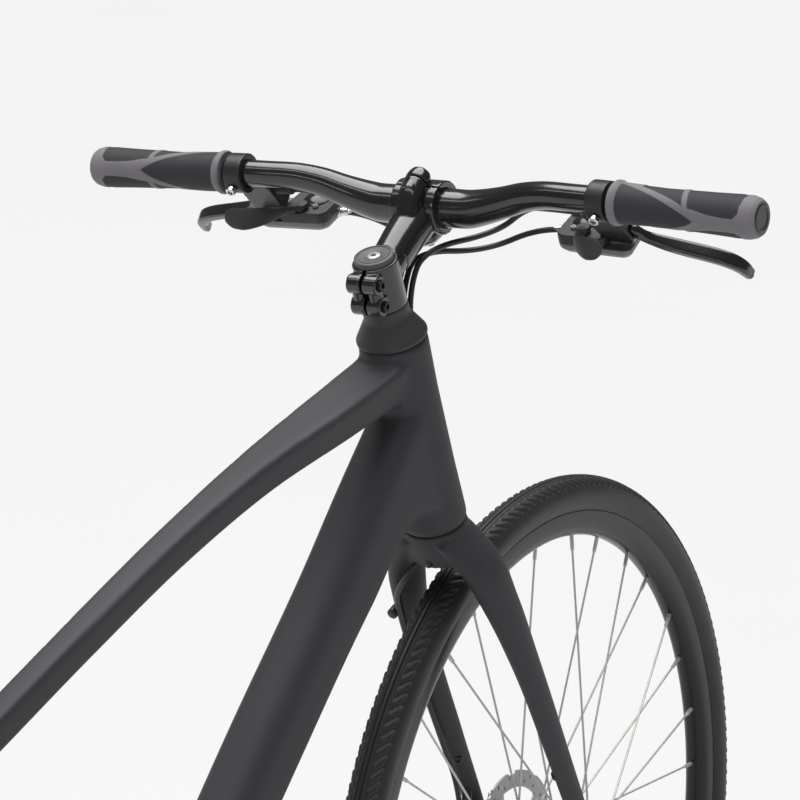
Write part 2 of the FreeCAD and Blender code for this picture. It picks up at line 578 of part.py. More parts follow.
for side in (1, -1):
    fork = fork.fuse(loft([oval(head(s, a, side * y), LEFT, AHEAD, b, c) for s, a, y, c, b in FORK_LINE]))
    start = FRONT + LEFT * (FORK_FACE + DROPOUT if side > 0 else -FORK_FACE)
    fork = fork.fuse(plate(start, AHEAD, UP, [
        (-12, -14, 6), (12, -14, 6), (12, 10, 4), (9, 26, 4), (-9, 26, 4), (-12, 10, 4)], DROPOUT))
fork = fork.cut(fork_slot)
for side in (1, -1):
    fork = fork.cut(rod(head(EYELET, 15.8, side * 52), head(EYELET, 15.8, side * 75), 2.5))
fork = fork.cut(rod(head(-12), head(v("steerer_length") + 1), v("steerer_radius - 2.4")))
fork_solid = fork.removeSplitter()
feature("fork", fork_solid, STEER)

# Headset cover: a cone over the upper bearing with a cable port at its front
COVER_FOOT = 0.7 + v("head_length + gap")
cover_blank = revolved("headset_cover_blank", [
    ("steerer_radius", "0"), ("head_radius + 1", "0"), ("head_radius + 1", "3"),
    ("cover_top_radius + 0.8", "cover_height - 11"), ("cover_top_radius", "cover_height - 8"),
    ("cover_top_radius", "cover_height"), ("steerer_radius", "cover_height")])
doc.recompute()
port = Part.makeBox(30, 26, 40, Vector(v("steerer_radius + 1"), -13, 9))
cover = cover_blank.Shape.cut(port)
cover.Placement = Placement(head(COVER_FOOT), Rotation(AHEAD, LEFT, UP, "ZXY"))
feature("headset_cover", cover, STEER)

# Stem: split sleeve on the steerer, rising extension and the rear half of the bar clamp
SLEEVE_FOOT = COVER_FOOT + v("cover_height")
SLEEVE_TOP = v("steerer_length + 1")
STEM_ROOT = head(232)
BAR = STEM_ROOT + FORWARD * v("stem_reach") + HIGH * v("stem_rise")
ALONG = (BAR - STEM_ROOT).normalize()
OVER = Vector(-ALONG.z, 0, ALONG.x)
half_width = v("clamp_half_width")
clamp_radius = v("bar_radius + clamp_wall")
sleeve = rod(head(SLEEVE_FOOT), head(SLEEVE_TOP), v("sleeve_radius"))
PINCH = (SLEEVE_FOOT + 10.5, SLEEVE_TOP - 10.5)
for s in PINCH:
    sleeve = sleeve.fuse(rod(head(s, -20, -13.5), head(s, -20, 13.5), 8.2))
arm = loft([
    oval(STEM_ROOT + ALONG * 3 - OVER, LEFT, OVER, 15.5, 13.5),
    oval(STEM_ROOT + ALONG * 24, LEFT, OVER, 15, 15),
    oval(STEM_ROOT + ALONG * 48, LEFT, OVER, 14.5, 14.2), oval(BAR - ALONG * 8, LEFT, OVER, 19, 15.5)])
clamp = rod(BAR - LEFT * half_width, BAR + LEFT * half_width, clamp_radius)
for way in (1, -1):
    boss = BAR + OVER * (way * (clamp_radius + 3.5))
    clamp = clamp.fuse(rod(boss - ALONG * 13, boss + ALONG * 11, 7))
bar_hole = rod(BAR - LEFT * 40, BAR + LEFT * 40, v("bar_radius"))
bolt_blanks = []
sockets = []
for s in PINCH:
    bolt_blanks.append(rod(head(s, -20, -12), head(s, -20, 13),
        2.5).fuse(rod(head(s, -20, -16.5), head(s, -20, -11), 4.4)))
    sockets.append(prism(head(s, -20, -17), head(s, -20, -13.5), 2.3))
for way in (1, -1):
    boss = BAR + OVER * (way * (clamp_radius + 3.5))
    bolt_blanks.append(rod(boss - ALONG * 11, boss + ALONG * 9,
        2.5).fuse(rod(boss + ALONG * 8, boss + ALONG * 13, 4.4)))
    sockets.append(prism(boss + ALONG * 10, boss + ALONG * 14, 2.3))
CAP_TOP = SLEEVE_TOP + v("cap_height")
bolt_blanks.append(rod(head(CAP_TOP - 3.5), head(CAP_TOP),
    5.2).fuse(rod(head(SLEEVE_TOP - 30), head(CAP_TOP - 3), 3.0)))
sockets.append(prism(head(CAP_TOP - 2.5), head(CAP_TOP + 1), 2.6))
bolt_set = Part.makeCompound(bolt_blanks)
feature("cockpit_bolts", Part.makeCompound([b.cut(k) for b, k in zip(bolt_blanks, sockets)]), STEER)
steer_hole = rod(head(SLEEVE_FOOT - 1), head(SLEEVE_TOP + 1), v("steerer_radius"))
pinch_slit = Part.makeBox(20, 2.4, 60, Vector(-34, -1.2, SLEEVE_FOOT - 5))
pinch_slit.Placement = Placement(CROWN, Rotation(AHEAD, LEFT, UP, "ZXY"))
front_half = plate(BAR + LEFT * 60, ALONG, OVER, [(-0.5, -45, 0.1), (45, -45, 0.1), (45, 45, 0.1),
    (-0.5, 45, 0.1)], 120)
rear_half = plate(BAR + LEFT * 60, ALONG, OVER, [(-45, -45, 0.1), (0.5, -45, 0.1), (0.5, 45, 0.1),
    (-45, 45, 0.1)], 120)
cap_room = rod(head(SLEEVE_TOP), head(SLEEVE_TOP + 20), v("cap_radius + 1"))
stem = sleeve.fuse(arm.cut(cap_room)).fuse(clamp.cut(front_half))
stem = stem.cut(steer_hole).cut(bar_hole).cut(pinch_slit).cut(bolt_set)
feature("stem", max(stem.Solids, key=lambda s: s.Volume).removeSplitter(), STEER)
feature("stem_faceplate", clamp.cut(rear_half).cut(bar_hole).cut(bolt_set).removeSplitter(), STEER)

# Top cap: a dished disc that closes the steerer
cap_blank = revolved("top_cap_blank", [
    ("0", "0"), ("cap_radius", "0"), ("cap_radius", "cap_height - 1.5"), ("cap_radius - 1.5", "cap_height"),
    ("0", "cap_height")])
doc.recompute()
cap = cap_blank.Shape.copy()
cap.Placement = at(head(SLEEVE_TOP), UP)
feature("top_cap", cap.cut(bolt_set), STEER)

# Handlebar: thick middle, two rising bends and straight ends
RISE = v("bar_rise")
BAR_LINE = [
    (0, 30, 0, 15.9), (0, 41, 0.02 * RISE, 15.6), (-0.5, 54, 0.16 * RISE, 14.6),
    (-2.2, 74, 0.46 * RISE, 13.0),
    (-4.6, 94, 0.8 * RISE, 11.9), (-7.2, 112, 0.98 * RISE, 11.3), (-10.72, 142, RISE + 0.37, 11.1)]
BAR_END = Vector(-18.0, v("bar_half_width"), RISE - 2.7)
INNER = Vector(-10.72, 142, RISE + 0.37)


def bar_half(side):
    """One side of the bar: bent part from the thick middle, then the straight end."""
    spots = [Vector(x, side * y, z) for x, y, z, r in BAR_LINE]
    tip = Vector(BAR_END.x, side * BAR_END.y, BAR_END.z)
    rings = []
    for i, spot in enumerate(spots):
        ahead = (spots + [tip])[i + 1] - spots[max(i - 1, 0)]
        if i == 0:
            ahead = LEFT * side
        if i == len(spots) - 1:
            ahead = tip - spot
        upward = (HIGH - ahead * (HIGH.dot(ahead) / ahead.dot(ahead))).normalize()
        rings.append(oval(BAR + spot, upward.cross(ahead).normalize(), upward, BAR_LINE[i][3],
            BAR_LINE[i][3]))
    straight = rod(BAR + spots[-1], BAR + spots[-1] + (tip - spots[-1]) * 0.968, v("bar_end_radius"))
    return [loft(rings), straight]


middle_bar = rod(BAR - LEFT * 30, BAR + LEFT * 30, v("bar_radius"))
handlebar = middle_bar.fuse(bar_half(1) + bar_half(-1))
feature("handlebar", handlebar, STEER)


def bar_frame(side, reach):
    """A point on the straight end at a distance from the middle, and the way outward along it."""
    tip = Vector(BAR_END.x, side * BAR_END.y, BAR_END.z)
    inner = Vector(INNER.x, side * INNER.y, INNER.z)
    part = (reach - INNER.y) / (BAR_END.y - INNER.y)
    return BAR + inner + (tip - inner) * part, (tip - inner).normalize()


# Grips: soft sleeves with an inner flange, a waist, a palm swell and a closed end
for name, side in (("left", 1), ("right", -1)):
    grip = revolved(name + "_grip", [
        ("bar_end_radius", "0"), ("grip_radius + 2", "0"), ("grip_radius + 2", "5"), ("grip_radius", "8"),
        ("grip_radius - 0.6", "grip_length * 0.35"), ("grip_radius + 0.6", "grip_length * 0.7"),
        ("grip_radius + 1.2", "grip_length * 0.88"), ("grip_radius + 0.2", "grip_length * 0.95"),
        ("grip_radius - 3", "grip_length"), ("0", "grip_length"), ("0", "grip_length - 4"),
        ("bar_end_radius", "grip_length - 4")])
    spot, out = bar_frame(side, v("bar_half_width - grip_length"))
    grip.Placement = STEER.multiply(at(spot, out))

# Brake brackets, levers, gear pods and thumb levers, one of each per side of the bar
CONTROLS = v("bar_half_width - grip_length") - 12
DROP = math.radians(38.0)
PIVOT_DROP = 46.0
POD_UP = Vector(-0.34, 0, 0.94).normalize()
POD_ON = Vector(POD_UP.z, 0, -POD_UP.x)
LEVER_LINE = [
    (0, 0, 3.9, 5.6), (14, 9, 3.9, 5.2), (30, 18.5, 5.2, 4.6), (54, 26.5, 6.0, 4.4),
    (74, 34, 6.0, 4.4), (83, 41, 5.8, 4.4), (87, 50, 5.2, 4.2), (88.5, 59, 4.4, 3.6)]
THUMB_LINE = [
    (-36, 32.7, -31.5, 4.5, 2.6), (-30, 14, -33, 3.6, 3.2), (-20, -4, -34, 3.0, 6.0),
    (-6, -13, -34.5, 2.8, 7.2), (5, -15, -33, 2.4, 5.0)]
brackets = []
pods = []
barrels = {}
gear_ends = {}
for name, side in (("left", 1), ("right", -1)):
    spot, out = bar_frame(side, CONTROLS)
    down = FORWARD * math.cos(DROP) - HIGH * math.sin(DROP)
    down = (down - out * down.dot(out)).normalize()
    over = out.cross(down)
    bore = rod(spot - out * 25, spot + out * 20, v("bar_end_radius"))
    pivot = spot + down * PIVOT_DROP - out * 2
    holder = rod(spot - out * 8, spot + out * 8, 16.5)
    holder = holder.fuse(plate(spot - over * 8, out, down, [(-24, 8, 5), (6, 8, 3), (8, 56, 7), (-20, 56, 9)],
        16))
    slot = [(-12, 37.5, 2), (22, 37.5, 2), (22, 70, 2), (-12, 70, 2)]
    holder = holder.cut(plate(spot - over * (4 + v("gap")), out, down, slot, 8 + 2 * v("gap")))
    holder = holder.fuse(rod(spot + down * 25 - out * 12, spot + down * 25 - out * 38, 4.6))
    holder = holder.fuse(rod(pivot - over * 8.6, pivot + over * 8.6, 2.0)).cut(bore)
    brackets.append(holder.removeSplitter())
    barrels[name] = (spot + down * 25 - out * 38, out * -1)
    blade = []
    for i, (a, b, wide, deep) in enumerate(LEVER_LINE):
        near = LEVER_LINE[max(i - 1, 0)]
        far = LEVER_LINE[min(i + 1, len(LEVER_LINE) - 1)]
        square = (down * (far[0] - near[0]) - out * (far[1] - near[1])).normalize()
        blade.append(box_section(pivot + out * a + down * b, over, square, wide, -deep, deep, 2.2))
    lever = rod(pivot - over * 4, pivot + over * 4, 7).fuse(loft(blade))
    lever = lever.cut(rod(pivot - over * 9, pivot + over * 9, v("running") + 2.0))
    feature(name + "_brake_lever", lever.removeSplitter(), STEER)
    seat = spot - HIGH * 36 + FORWARD * 30
    top = seat if side > 0 else seat - POD_UP * 20
    pod = plate(top, out, POD_ON, [(-62, -4, 9), (-14, -4, 5), (-16, 38, 14), (-62, 38, 14)], 20)
    lens = seat + (POD_UP * 2.4 if side > 0 else Vector())
    pod = pod.fuse(plate(lens, out, POD_ON, [(-56, 13, 6), (-28, 13, 6), (-28, 33, 9), (-56, 33, 9)], 2.4))
    pods.append(pod.cut(holder).removeSplitter())
    gear_ends[name] = seat - out * 62 + POD_ON * 20 - POD_UP * 10
    root = seat - out * 36 + POD_ON * 4 + POD_UP * v("gap")
    spots = [spot + out * a + FORWARD * b + HIGH * c for a, b, c, half, tall in THUMB_LINE]
    paddle = []
    for i, (a, b, c, half, tall) in enumerate(THUMB_LINE):
        along = spots[min(i + 1, len(spots) - 1)] - spots[max(i - 1, 0)]
        paddle.append(box_section(spots[i], along.cross(HIGH).normalize(), HIGH, half, -tall, tall, 2.0))
    thumb = rod(root, root + POD_UP * 5.6, 6).fuse(loft(paddle))
    feature(name + "_thumb_lever", thumb.removeSplitter(), STEER)
feature("brake_brackets", Part.makeCompound(brackets), STEER)
feature("shifter_pods", Part.makeCompound(pods), STEER)


# Disc brakes: a caliper straddling the rotor with an actuating arm on its outer face
def brake(name, axle, out, low, high, foot, lead, place, wall):
    """Caliper block out from the axle between two side distances, its ear to the frame, and the cable arm."""
    along = LEFT.cross(out)
    disc = v(name + "_over / 2 - rotor_inset")
    block = plate(axle + LEFT * low, out, along, [(52, -22, 6), (92, -16, 8), (92, 16, 8), (52, 22, 6)],
        high - low)
    hinge = axle + out * 70 + LEFT * high
    block = block.fuse([rod(axle + out * 86 + LEFT * (high - 10), foot, 4.5),
        rod(hinge - LEFT * 3, hinge + LEFT * 6, 3.0)])
    stop = axle + out * 84 + LEFT * (high - 5)
    block = block.fuse(rod(stop, stop + lead * STOP, 4.0))
    block = block.cut(Part.makeCylinder(v("rotor_radius + 2"), 3.4, axle + LEFT * (disc - 1.7), LEFT))
    feature(name + "_brake_caliper", block.cut(wall).removeSplitter(), place)
    arm = plate(hinge + LEFT * (v("gap") + 4.5), along, out,
        [(-9, -9, 8), (9, -9, 8), (6, 42, 5), (-6, 42, 5)], 4.5)
    arm = arm.cut(rod(hinge - LEFT * 5, hinge + LEFT * 9, 3.0 + v("running")))
    feature(name + "_brake_arm", arm, place)
    return stop + lead * STOP


stay_shapes = doc.getObject("chainstays").Shape.fuse(doc.getObject("seatstays").Shape)
FRONT_OUT = (UP * 52 - AHEAD * 45).normalize()
REAR_OUT = Vector(0.82, 0, 0.57).normalize()
FRONT_LEAD = (UP * 0.97 + AHEAD * 0.25).normalize()
REAR_LEAD = Vector(0.72, 0, -0.69).normalize()
STOP = 24.0
front_stop = brake("front", FRONT, FRONT_OUT, 25.0, 46.0, head(-306, 30, 51), FRONT_LEAD, STEER, fork_solid)
rear_stop = brake("rear", REAR, REAR_OUT, 41.0, 60.0, REAR + Vector(86, 62, 4), REAR_LEAD, Placement(),
    stay_shapes)

# Cables: brake and gear housings from the bar into the headset cover, and the front brake's on the fork leg
r = v("cable_radius")
port_way = (AHEAD * 15 + UP * 40).normalize()
cables = []
for name, side, lane, lift in (("left", 1, 9.4, 0.0), ("right", -1, -9.4, -6.0)):
    start, way = barrels[name]
    mouth = head(COVER_FOOT + 11, 17.9, lane)
    low_point = BAR + Vector(42 + lift, side * 46, -19 + lift)
    entry = mouth + port_way * 50 + FORWARD * 16 + LEFT * (side * 4)
    route = [start, start + way * 24, BAR + Vector(26, side * 80, 0), low_point, entry, mouth + port_way * 22, mouth]
    cables.append(bent(route, 30, r))
for name, side, lane, lift in (("left", 1, 3.1, 10.0), ("right", -1, -3.1, 4.0)):
    spot, out = bar_frame(side, CONTROLS)
    start = gear_ends[name]
    mouth = head(COVER_FOOT + 11, 17.9, lane)
    low_point = BAR + Vector(40 + lift, side * 30, -43)
    entry = mouth + port_way * 47 + FORWARD * 20
    route = [start, start - out * 24, low_point, entry, mouth + port_way * 20, mouth]
    cables.append(bent(route, 26, r).cut(pods))
leg = [head(-30, -16, 12), head(-38, -26, 20), head(-62, -24, 38), head(-84, -16.5, 44.5),
    head(-140, -6.8, 49.3)]
leg += [head(-250, 11.2, 52), front_stop + FRONT_LEAD * 26, front_stop]
cables.append(bent(leg, 30, r).cut(fork_solid))
feature("control_cables", Part.makeCompound(cables), STEER)

# Rear housings: brake along the left chainstay, gears along the right one
start = [(36, 9, 22), (22, 9, -14), (4, 11, -27.5), (-20, 14, -27)]
brake_run = [(-85, 24.5, -17), (-225, 42, -16), (-280, 45, -10)]
GEAR_LEAD = Vector(18, -6, 0).normalize()
GEAR_STOP = HANGER + Vector(34, -16, -22)
gear_run = [(-85, 31, -17), (-225, 50, -17), (-330, 59, -22)]
brake_path = [CRANK + Vector(x, y, z) for x, y, z in start]
brake_path += [stay_point(CRANK.x + x, y) + HIGH * z for x, y, z in brake_run]
brake_path += [rear_stop + REAR_LEAD * 28, rear_stop]
gear_path = [CRANK + Vector(x, -y, z) for x, y, z in start]
gear_path += [stay_point(CRANK.x + x, -y) + HIGH * z for x, y, z in gear_run]
gear_path += [GEAR_STOP + GEAR_LEAD * 26, GEAR_STOP]
lines = []
for path in (brake_path, gear_path):
    housing = bent(path, 40, r)
    way = (path[5] - path[4]).normalize()
    clip = path[4] + (path[5] - path[4]) * 0.45
    clip = rod(clip - way * 4, clip + way * 4, 7.2)
    lines += [housing.cut(down_full), clip.cut(housing).cut(stay_shapes)]
feature("rear_cables", Part.makeCompound(lines))


# Chain line: pitch circles of ring, sprocket and pulleys in one plane, wrapped by one closed path
def pitch_radius(teeth):
    return v("chain_pitch") / (2 * math.sin(math.pi / teeth))


GUIDE = REAR + Vector(4, 0, -66)
CAGE = 56.0
DRIVE = int(SPROCKETS[3])


def tension_point(turn):
    return GUIDE + Vector(math.sin(turn), 0, -math.cos(turn)) * CAGE


def chain_path(turn):
    """Runs and wraps of the chain in travel order, for one angle of the tension cage."""
    wheels = [
        (CRANK, pitch_radius(v("big_ring_teeth")), 1), (tension_point(turn), pitch_radius(v("pulley_teeth")),
        1),
        (GUIDE, pitch_radius(v("pulley_teeth")), -1), (REAR, pitch_radius(DRIVE), 1)]
    runs = []
    for i in range(4):
        a, ra, sa = wheels[i]
        b, rb, sb = wheels[(i + 1) % 4]
        gap = b - a
        way = math.atan2(gap.z, gap.x) - math.asin((sa * ra - sb * rb) / gap.Length)
        left = Vector(-math.sin(way), 0, math.cos(way))
        runs.append((a + left * (sa * ra), b + left * (sb * rb)))
    steps = []
    for i in range(4):
        centre, radius, sense = wheels[i]
        arrive = runs[i - 1][1] - centre
        leave = runs[i][0] - centre
        first = math.atan2(arrive.z, arrive.x)
        sweep = (sense * (first - math.atan2(leave.z, leave.x))) % (2 * math.pi)
        steps.append(("wrap", centre, radius, first, -sense * sweep, radius * sweep))
        steps.append(("run", runs[i][0], runs[i][1], 0, 0, (runs[i][1] - runs[i][0]).Length))
    return steps


def path_length(turn):
    return sum(step[5] for step in chain_path(turn))


low_turn = -0.9
high_turn = 0.6
links = 2 * int(path_length(-0.15) / v("chain_pitch") / 2)
for k in range(60):
    mid_turn = (low_turn + high_turn) / 2
    mid_error = path_length(mid_turn) - links * v("chain_pitch")
    low_error = path_length(low_turn) - links * v("chain_pitch")
    if mid_error * low_error > 0:
        low_turn = mid_turn
    else:
        high_turn = mid_turn
TENSION = tension_point(mid_turn)


def along_chain(distance):
    """The point of the chain path at a distance from where it meets the ring."""
    for kind, a, b, first, sweep, size in chain_path(mid_turn):
        if distance <= size:
            if kind == "run":
                return a + (b - a) * (distance / size)
            w = first + sweep * distance / size
            return a + Vector(math.cos(w), 0, math.sin(w)) * b
        distance -= size
    return along_chain(0.0)


PLANE = LEFT * -v("chain_line")
rollers = [along_chain((k + 0.5) * v("chain_pitch")) + PLANE for k in range(links)]


def link_plate(a, b, side, half):
    """One side plate of a link: a slim six-cornered strip with ends round the rollers."""
    way = (b - a).normalize()
    up = way.cross(LEFT)
    spots = [a - way * 3.4, a - up * 3.6, b - up * 3.6, b + way * 3.4, b + up * 3.6, a + up * 3.6]
    spots = [p + LEFT * side for p in spots]
    return Part.Face(Part.makePolygon(spots + spots[:1])).extrude(LEFT * half)


chain = []
for k in range(links):
    a = rollers[k]
    b = rollers[(k + 1) % links]
    near, thick = (1.35, 0.9) if k % 2 else (2.4, 0.9)
    chain.append(link_plate(a, b, near, thick))
    chain.append(link_plate(a, b, -near - thick, thick))
    chain.append(prism(a - LEFT * 1.3, a + LEFT * 1.3, 3.5))
feature("chain", Part.makeCompound(chain))


def meshed(centre):
    """The turn that brings a tooth gap of a wheel on this centre to the roller nearest to it."""
    nearest = min(rollers, key=lambda p: (p - centre - PLANE).Length)
    gap = nearest - centre
    return math.degrees(math.atan2(-gap.z, gap.x))


def toothed(teeth, bore, centre, side):
    """A sprocket on a crosswise axis, in mesh with the chain."""
    piece = sprocket(teeth, v("tooth_half"), bore)
    piece.Placement = Placement(centre - LEFT * side, Rotation(LEFT, 0)).multiply(
        Placement(Vector(), Rotation(Vector(1, 0, 0), -90))).multiply(Placement(Vector(),
        Rotation(Vector(0, 0, 1), meshed(centre))))
    return piece


# Cassette: eight sprockets and their spacers on a sleeve that runs on the rear hub
sleeve_in = 12.0 + v("running")
core = Part.makeCylinder(17.0, 40, REAR - LEFT * 23.6, LEFT * -1)
cassette = core
for k, teeth in enumerate(SPROCKETS):
    side = v("chain_line") + (3 - k) * v("sprocket_pitch")
    cassette = cassette.fuse(toothed(teeth, 15.0, REAR, side))
cassette = cassette.cut(Part.makeCylinder(sleeve_in, 60, REAR - LEFT * 10, LEFT * -1))
feature("cassette", cassette)

# Chainrings: two toothed rings joined by four bolts
ring_bolts = []
for k in range(4):
    w = math.radians(45 + 90 * k)
    spot = CRANK + Vector(math.cos(w), 0, math.sin(w)) * 50
    ring_bolts.append(rod(spot - LEFT * (v("chain_line") + 5.6), spot - LEFT * (v("chain_line") - 9), 4.2))
bolt_stack = Part.makeCompound(ring_bolts)
rings = [
    toothed(int(v("big_ring_teeth")), 45.0, CRANK, v("chain_line")).cut(bolt_stack),
    toothed(int(v("small_ring_teeth")), 44.5, CRANK, v("chain_line") - 7.5).cut(bolt_stack)]
feature("chainrings", Part.makeCompound(rings + ring_bolts))

# Cranks: spindle, right arm with a four-armed spider, left arm, and the two pedal axles
turn = math.radians(v("crank_angle"))
reach = Vector(math.cos(turn), 0, math.sin(turn))
square = Vector(-reach.z, 0, reach.x)
SPIDER = v("chain_line + tooth_half")
arm_corners = [(-18, -17, 15), (v("crank_length") + 13, -12.5, 11), (v("crank_length") + 13, 12.5, 11),
    (-18, 17, 15)]
cranks = rod(CRANK - LEFT * (SPIDER + 18), CRANK + LEFT * 73, v("spindle_radius"))
right_arm = plate(CRANK - LEFT * (SPIDER + 5), reach, square, arm_corners, 13)
relief = plate(CRANK - LEFT * (SPIDER + 5), reach, square, [(70, -30, 2), (220, -30, 2), (220, 30, 2),
    (70, 30, 2)], 1.6)
right_arm = right_arm.cut(relief)
left_arm = plate(CRANK + LEFT * 73, reach * -1, square * -1, arm_corners, 13)
cranks = cranks.fuse([right_arm, left_arm])
for k in range(4):
    w = math.radians(45 + 90 * k)
    out = Vector(math.cos(w), 0, math.sin(w))
    over = Vector(-out.z, 0, out.x)
    cranks = cranks.fuse(plate(CRANK - LEFT * SPIDER, out, over,
        [(0, -11, 4), (57, -8, 6), (57, 8, 6), (0, 11, 4)], 5))
pedal_spots = {"right": (CRANK + reach * v("crank_length"), -1, SPIDER + 18),
    "left": (CRANK - reach * v("crank_length"), 1, 73)}
for name, (spot, side, face) in pedal_spots.items():
    cranks = cranks.fuse(rod(spot + LEFT * (side * (face - 10)),
        spot + LEFT * (side * (face + v("pedal_length") - 4)), 5.0))
cranks = cranks.cut(bolt_stack)
feature("crank_arms", cranks.removeSplitter())

# Pedals: a waisted platform with two windows, turning on the crank's pedal axle
for name, (spot, side, face) in pedal_spots.items():
    half = v("pedal_width") / 2
    inner = face + 1.0
    outer = face + v("pedal_length")
    ends = sorted((side * inner, side * outer))
    pedal = plate(spot - HIGH * 12, FORWARD, LEFT, [
        (-half, ends[0] + 8, 8), (-20, ends[0], 6), (20, ends[0], 6), (half, ends[0] + 8, 8),
        (half, ends[1] - 8, 8), (20, ends[1], 6), (-20, ends[1], 6), (-half, ends[1] - 8, 8)], 24)
    for way in (1, -1):
        window = [(13, ends[0] + 17, 4), (half - 9, ends[0] + 17, 4), (half - 9, ends[1] - 17, 4),
            (13, ends[1] - 17, 4)]
        pedal = pedal.cut(plate(spot - HIGH * 20, FORWARD * way, LEFT * way, [(a, way * b, c)
            for a, b, c in window][::way], 40))
    pedal = pedal.cut(rod(spot + LEFT * (side * (face - 20)), spot + LEFT * (side * (outer - 4 + v("gap"))),
        5.0 + v("running")))
    feature(name + "_pedal", pedal)

# Front derailleur: a band on the seat tube with an arm, and a two-sided cage over the chain
band = CRANK + SEAT * 140
shifter = rod(band - SEAT * 7, band + SEAT * 7, v("seat_tube_radius + 4"))
CAGE_AT = Vector(CRANK.x - 32, 0, CRANK.z + 112)
shifter = shifter.fuse(plate(band - LEFT * 10, FORWARD, HIGH, [(-16, -12, 4), (16, -12, 4), (10, -1, 4),
    (-12, -1, 4)], 22))
shifter = shifter.cut(rod(band - SEAT * 20, band + SEAT * 20, v("seat_tube_radius")))
feature("front_derailleur", max(shifter.Solids, key=lambda s: s.Volume).removeSplitter())
cage_corners = [(-48, -34, 3), (30, -4, 4), (42, 12, 6), (14, 20, 8), (-52, -4, 6)]
mech = plate(CAGE_AT - LEFT * (v("chain_line") - 6.6), FORWARD, HIGH, cage_corners, 1.6)
mech = mech.fuse(plate(CAGE_AT - LEFT * (v("chain_line") + 5.0), FORWARD, HIGH, cage_corners, 1.6))
mech = mech.fuse(plate(CAGE_AT - LEFT * (v("chain_line") - 6.0), FORWARD, HIGH,
    [(2, 13, 1), (22, 12, 1), (22, 15, 1), (2, 15.5, 1)], 12))
mech = mech.fuse(plate(CAGE_AT - LEFT * (v("chain_line") - 6.0), FORWARD, HIGH,
    [(-49, -32, 0.6), (-46, -31.5, 0.6), (-46, -28.5, 0.6), (-49, -28.5, 0.6)], 12))
mech = mech.fuse(plate(CAGE_AT - LEFT * (v("chain_line") - 6.6), FORWARD, HIGH, [
    (-16, 0, 1), (4, 0, 1), (4, 26, 2), (-16, 26, 2)], 1.6))
mech = mech.fuse(plate(CAGE_AT - LEFT * 30, FORWARD, HIGH, [(-16, 21.3, 1), (4, 21.3, 1), (4, 26, 1),
    (-16, 26, 1)], 12))
mech = mech.cut(rod(CRANK - LEFT * 80, CRANK, pitch_radius(v("big_ring_teeth")) + 3.2))
feature("front_derailleur_cage", max(mech.Solids, key=lambda s: s.Volume).removeSplitter())

# Rear derailleur: hanger bolt and body, sprung cage, and two toothed pulleys
outside = v("chain_line") + 6.6
changer = rod(HANGER + LEFT * (DROPOUT - 6), HANGER - LEFT * 16,
    5.0).fuse(rod(HANGER - LEFT * DROPOUT, HANGER - LEFT * 18, 10))
changer = changer.fuse(loft([
    box_section(HANGER + Vector(2, -17, -4), FORWARD, HIGH, 10, -10, 9, 4),
    box_section(HANGER + Vector(13, -11, -22), FORWARD, HIGH, 11, -12, 9, 4),
    box_section(GUIDE - LEFT * (outside + 2), FORWARD, HIGH, 9, -9, 9, 4)]))
changer = changer.fuse(rod(GUIDE - LEFT * outside, GUIDE - LEFT * (outside + 13), 10))
changer = changer.fuse(rod(GEAR_STOP - GEAR_LEAD * 19, GEAR_STOP, 4.0))
changer = changer.cut(rod(GUIDE - LEFT * (outside - 3), GUIDE - LEFT * (outside + 9), 4.0 + v("running")))
feature("rear_derailleur", changer.removeSplitter())
down = (TENSION - GUIDE).normalize()
across = Vector(down.z, 0, -down.x)
cage_outline = [(-9, -11, 8), (9, -11, 8), (10, CAGE + 11, 8), (-10, CAGE + 11, 8)]
holder = rod(GUIDE - LEFT * (outside - 1.5), GUIDE - LEFT * (outside + 8), 4.0)
for face in (v("chain_line") - 6.2, v("chain_line") + 4.6):
    sheet_piece = plate(GUIDE - LEFT * face, across, down, cage_outline, 1.6)
    if sheet_piece.BoundBox.YMax > 0.2 - face:
        sheet_piece.translate(LEFT * -1.6)
    holder = holder.fuse(sheet_piece)
for spot in (GUIDE, TENSION):
    holder = holder.fuse(rod(spot - LEFT * (v("chain_line") - 5.0), spot - LEFT * (v("chain_line") + 5.0),
        3.0))
feature("rear_derailleur_cage", holder.removeSplitter())
for name, spot in (("guide_pulley", GUIDE), ("tension_pulley", TENSION)):
    feature(name, toothed(int(v("pulley_teeth")), 3.0 + v("running"), spot, v("chain_line")))

# Check every piece and write it out
doc.recompute()
os.makedirs("parts", exist_ok=True)
for piece in doc.Objects:
    if piece.TypeId not in ("PartDesign::Body", "Part::Feature") or piece.Label.endswith("_blank"):
        continue
    if "Invalid" in piece.State or "Error" in piece.State:
        raise ValueError(piece.Label + " did not compute")
    if piece.Shape.isNull() or not piece.Shape.isValid() or not piece.Shape.Solids:
        raise ValueError(piece.Label + " has no sound shape")
    piece.Shape.exportStep("parts/" + piece.Label + ".step")
    print(piece.Label, len(piece.Shape.Solids), round(piece.Shape.Volume / 1000, 1))
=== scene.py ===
import math
import bpy
import numpy as np
from mathutils import Matrix


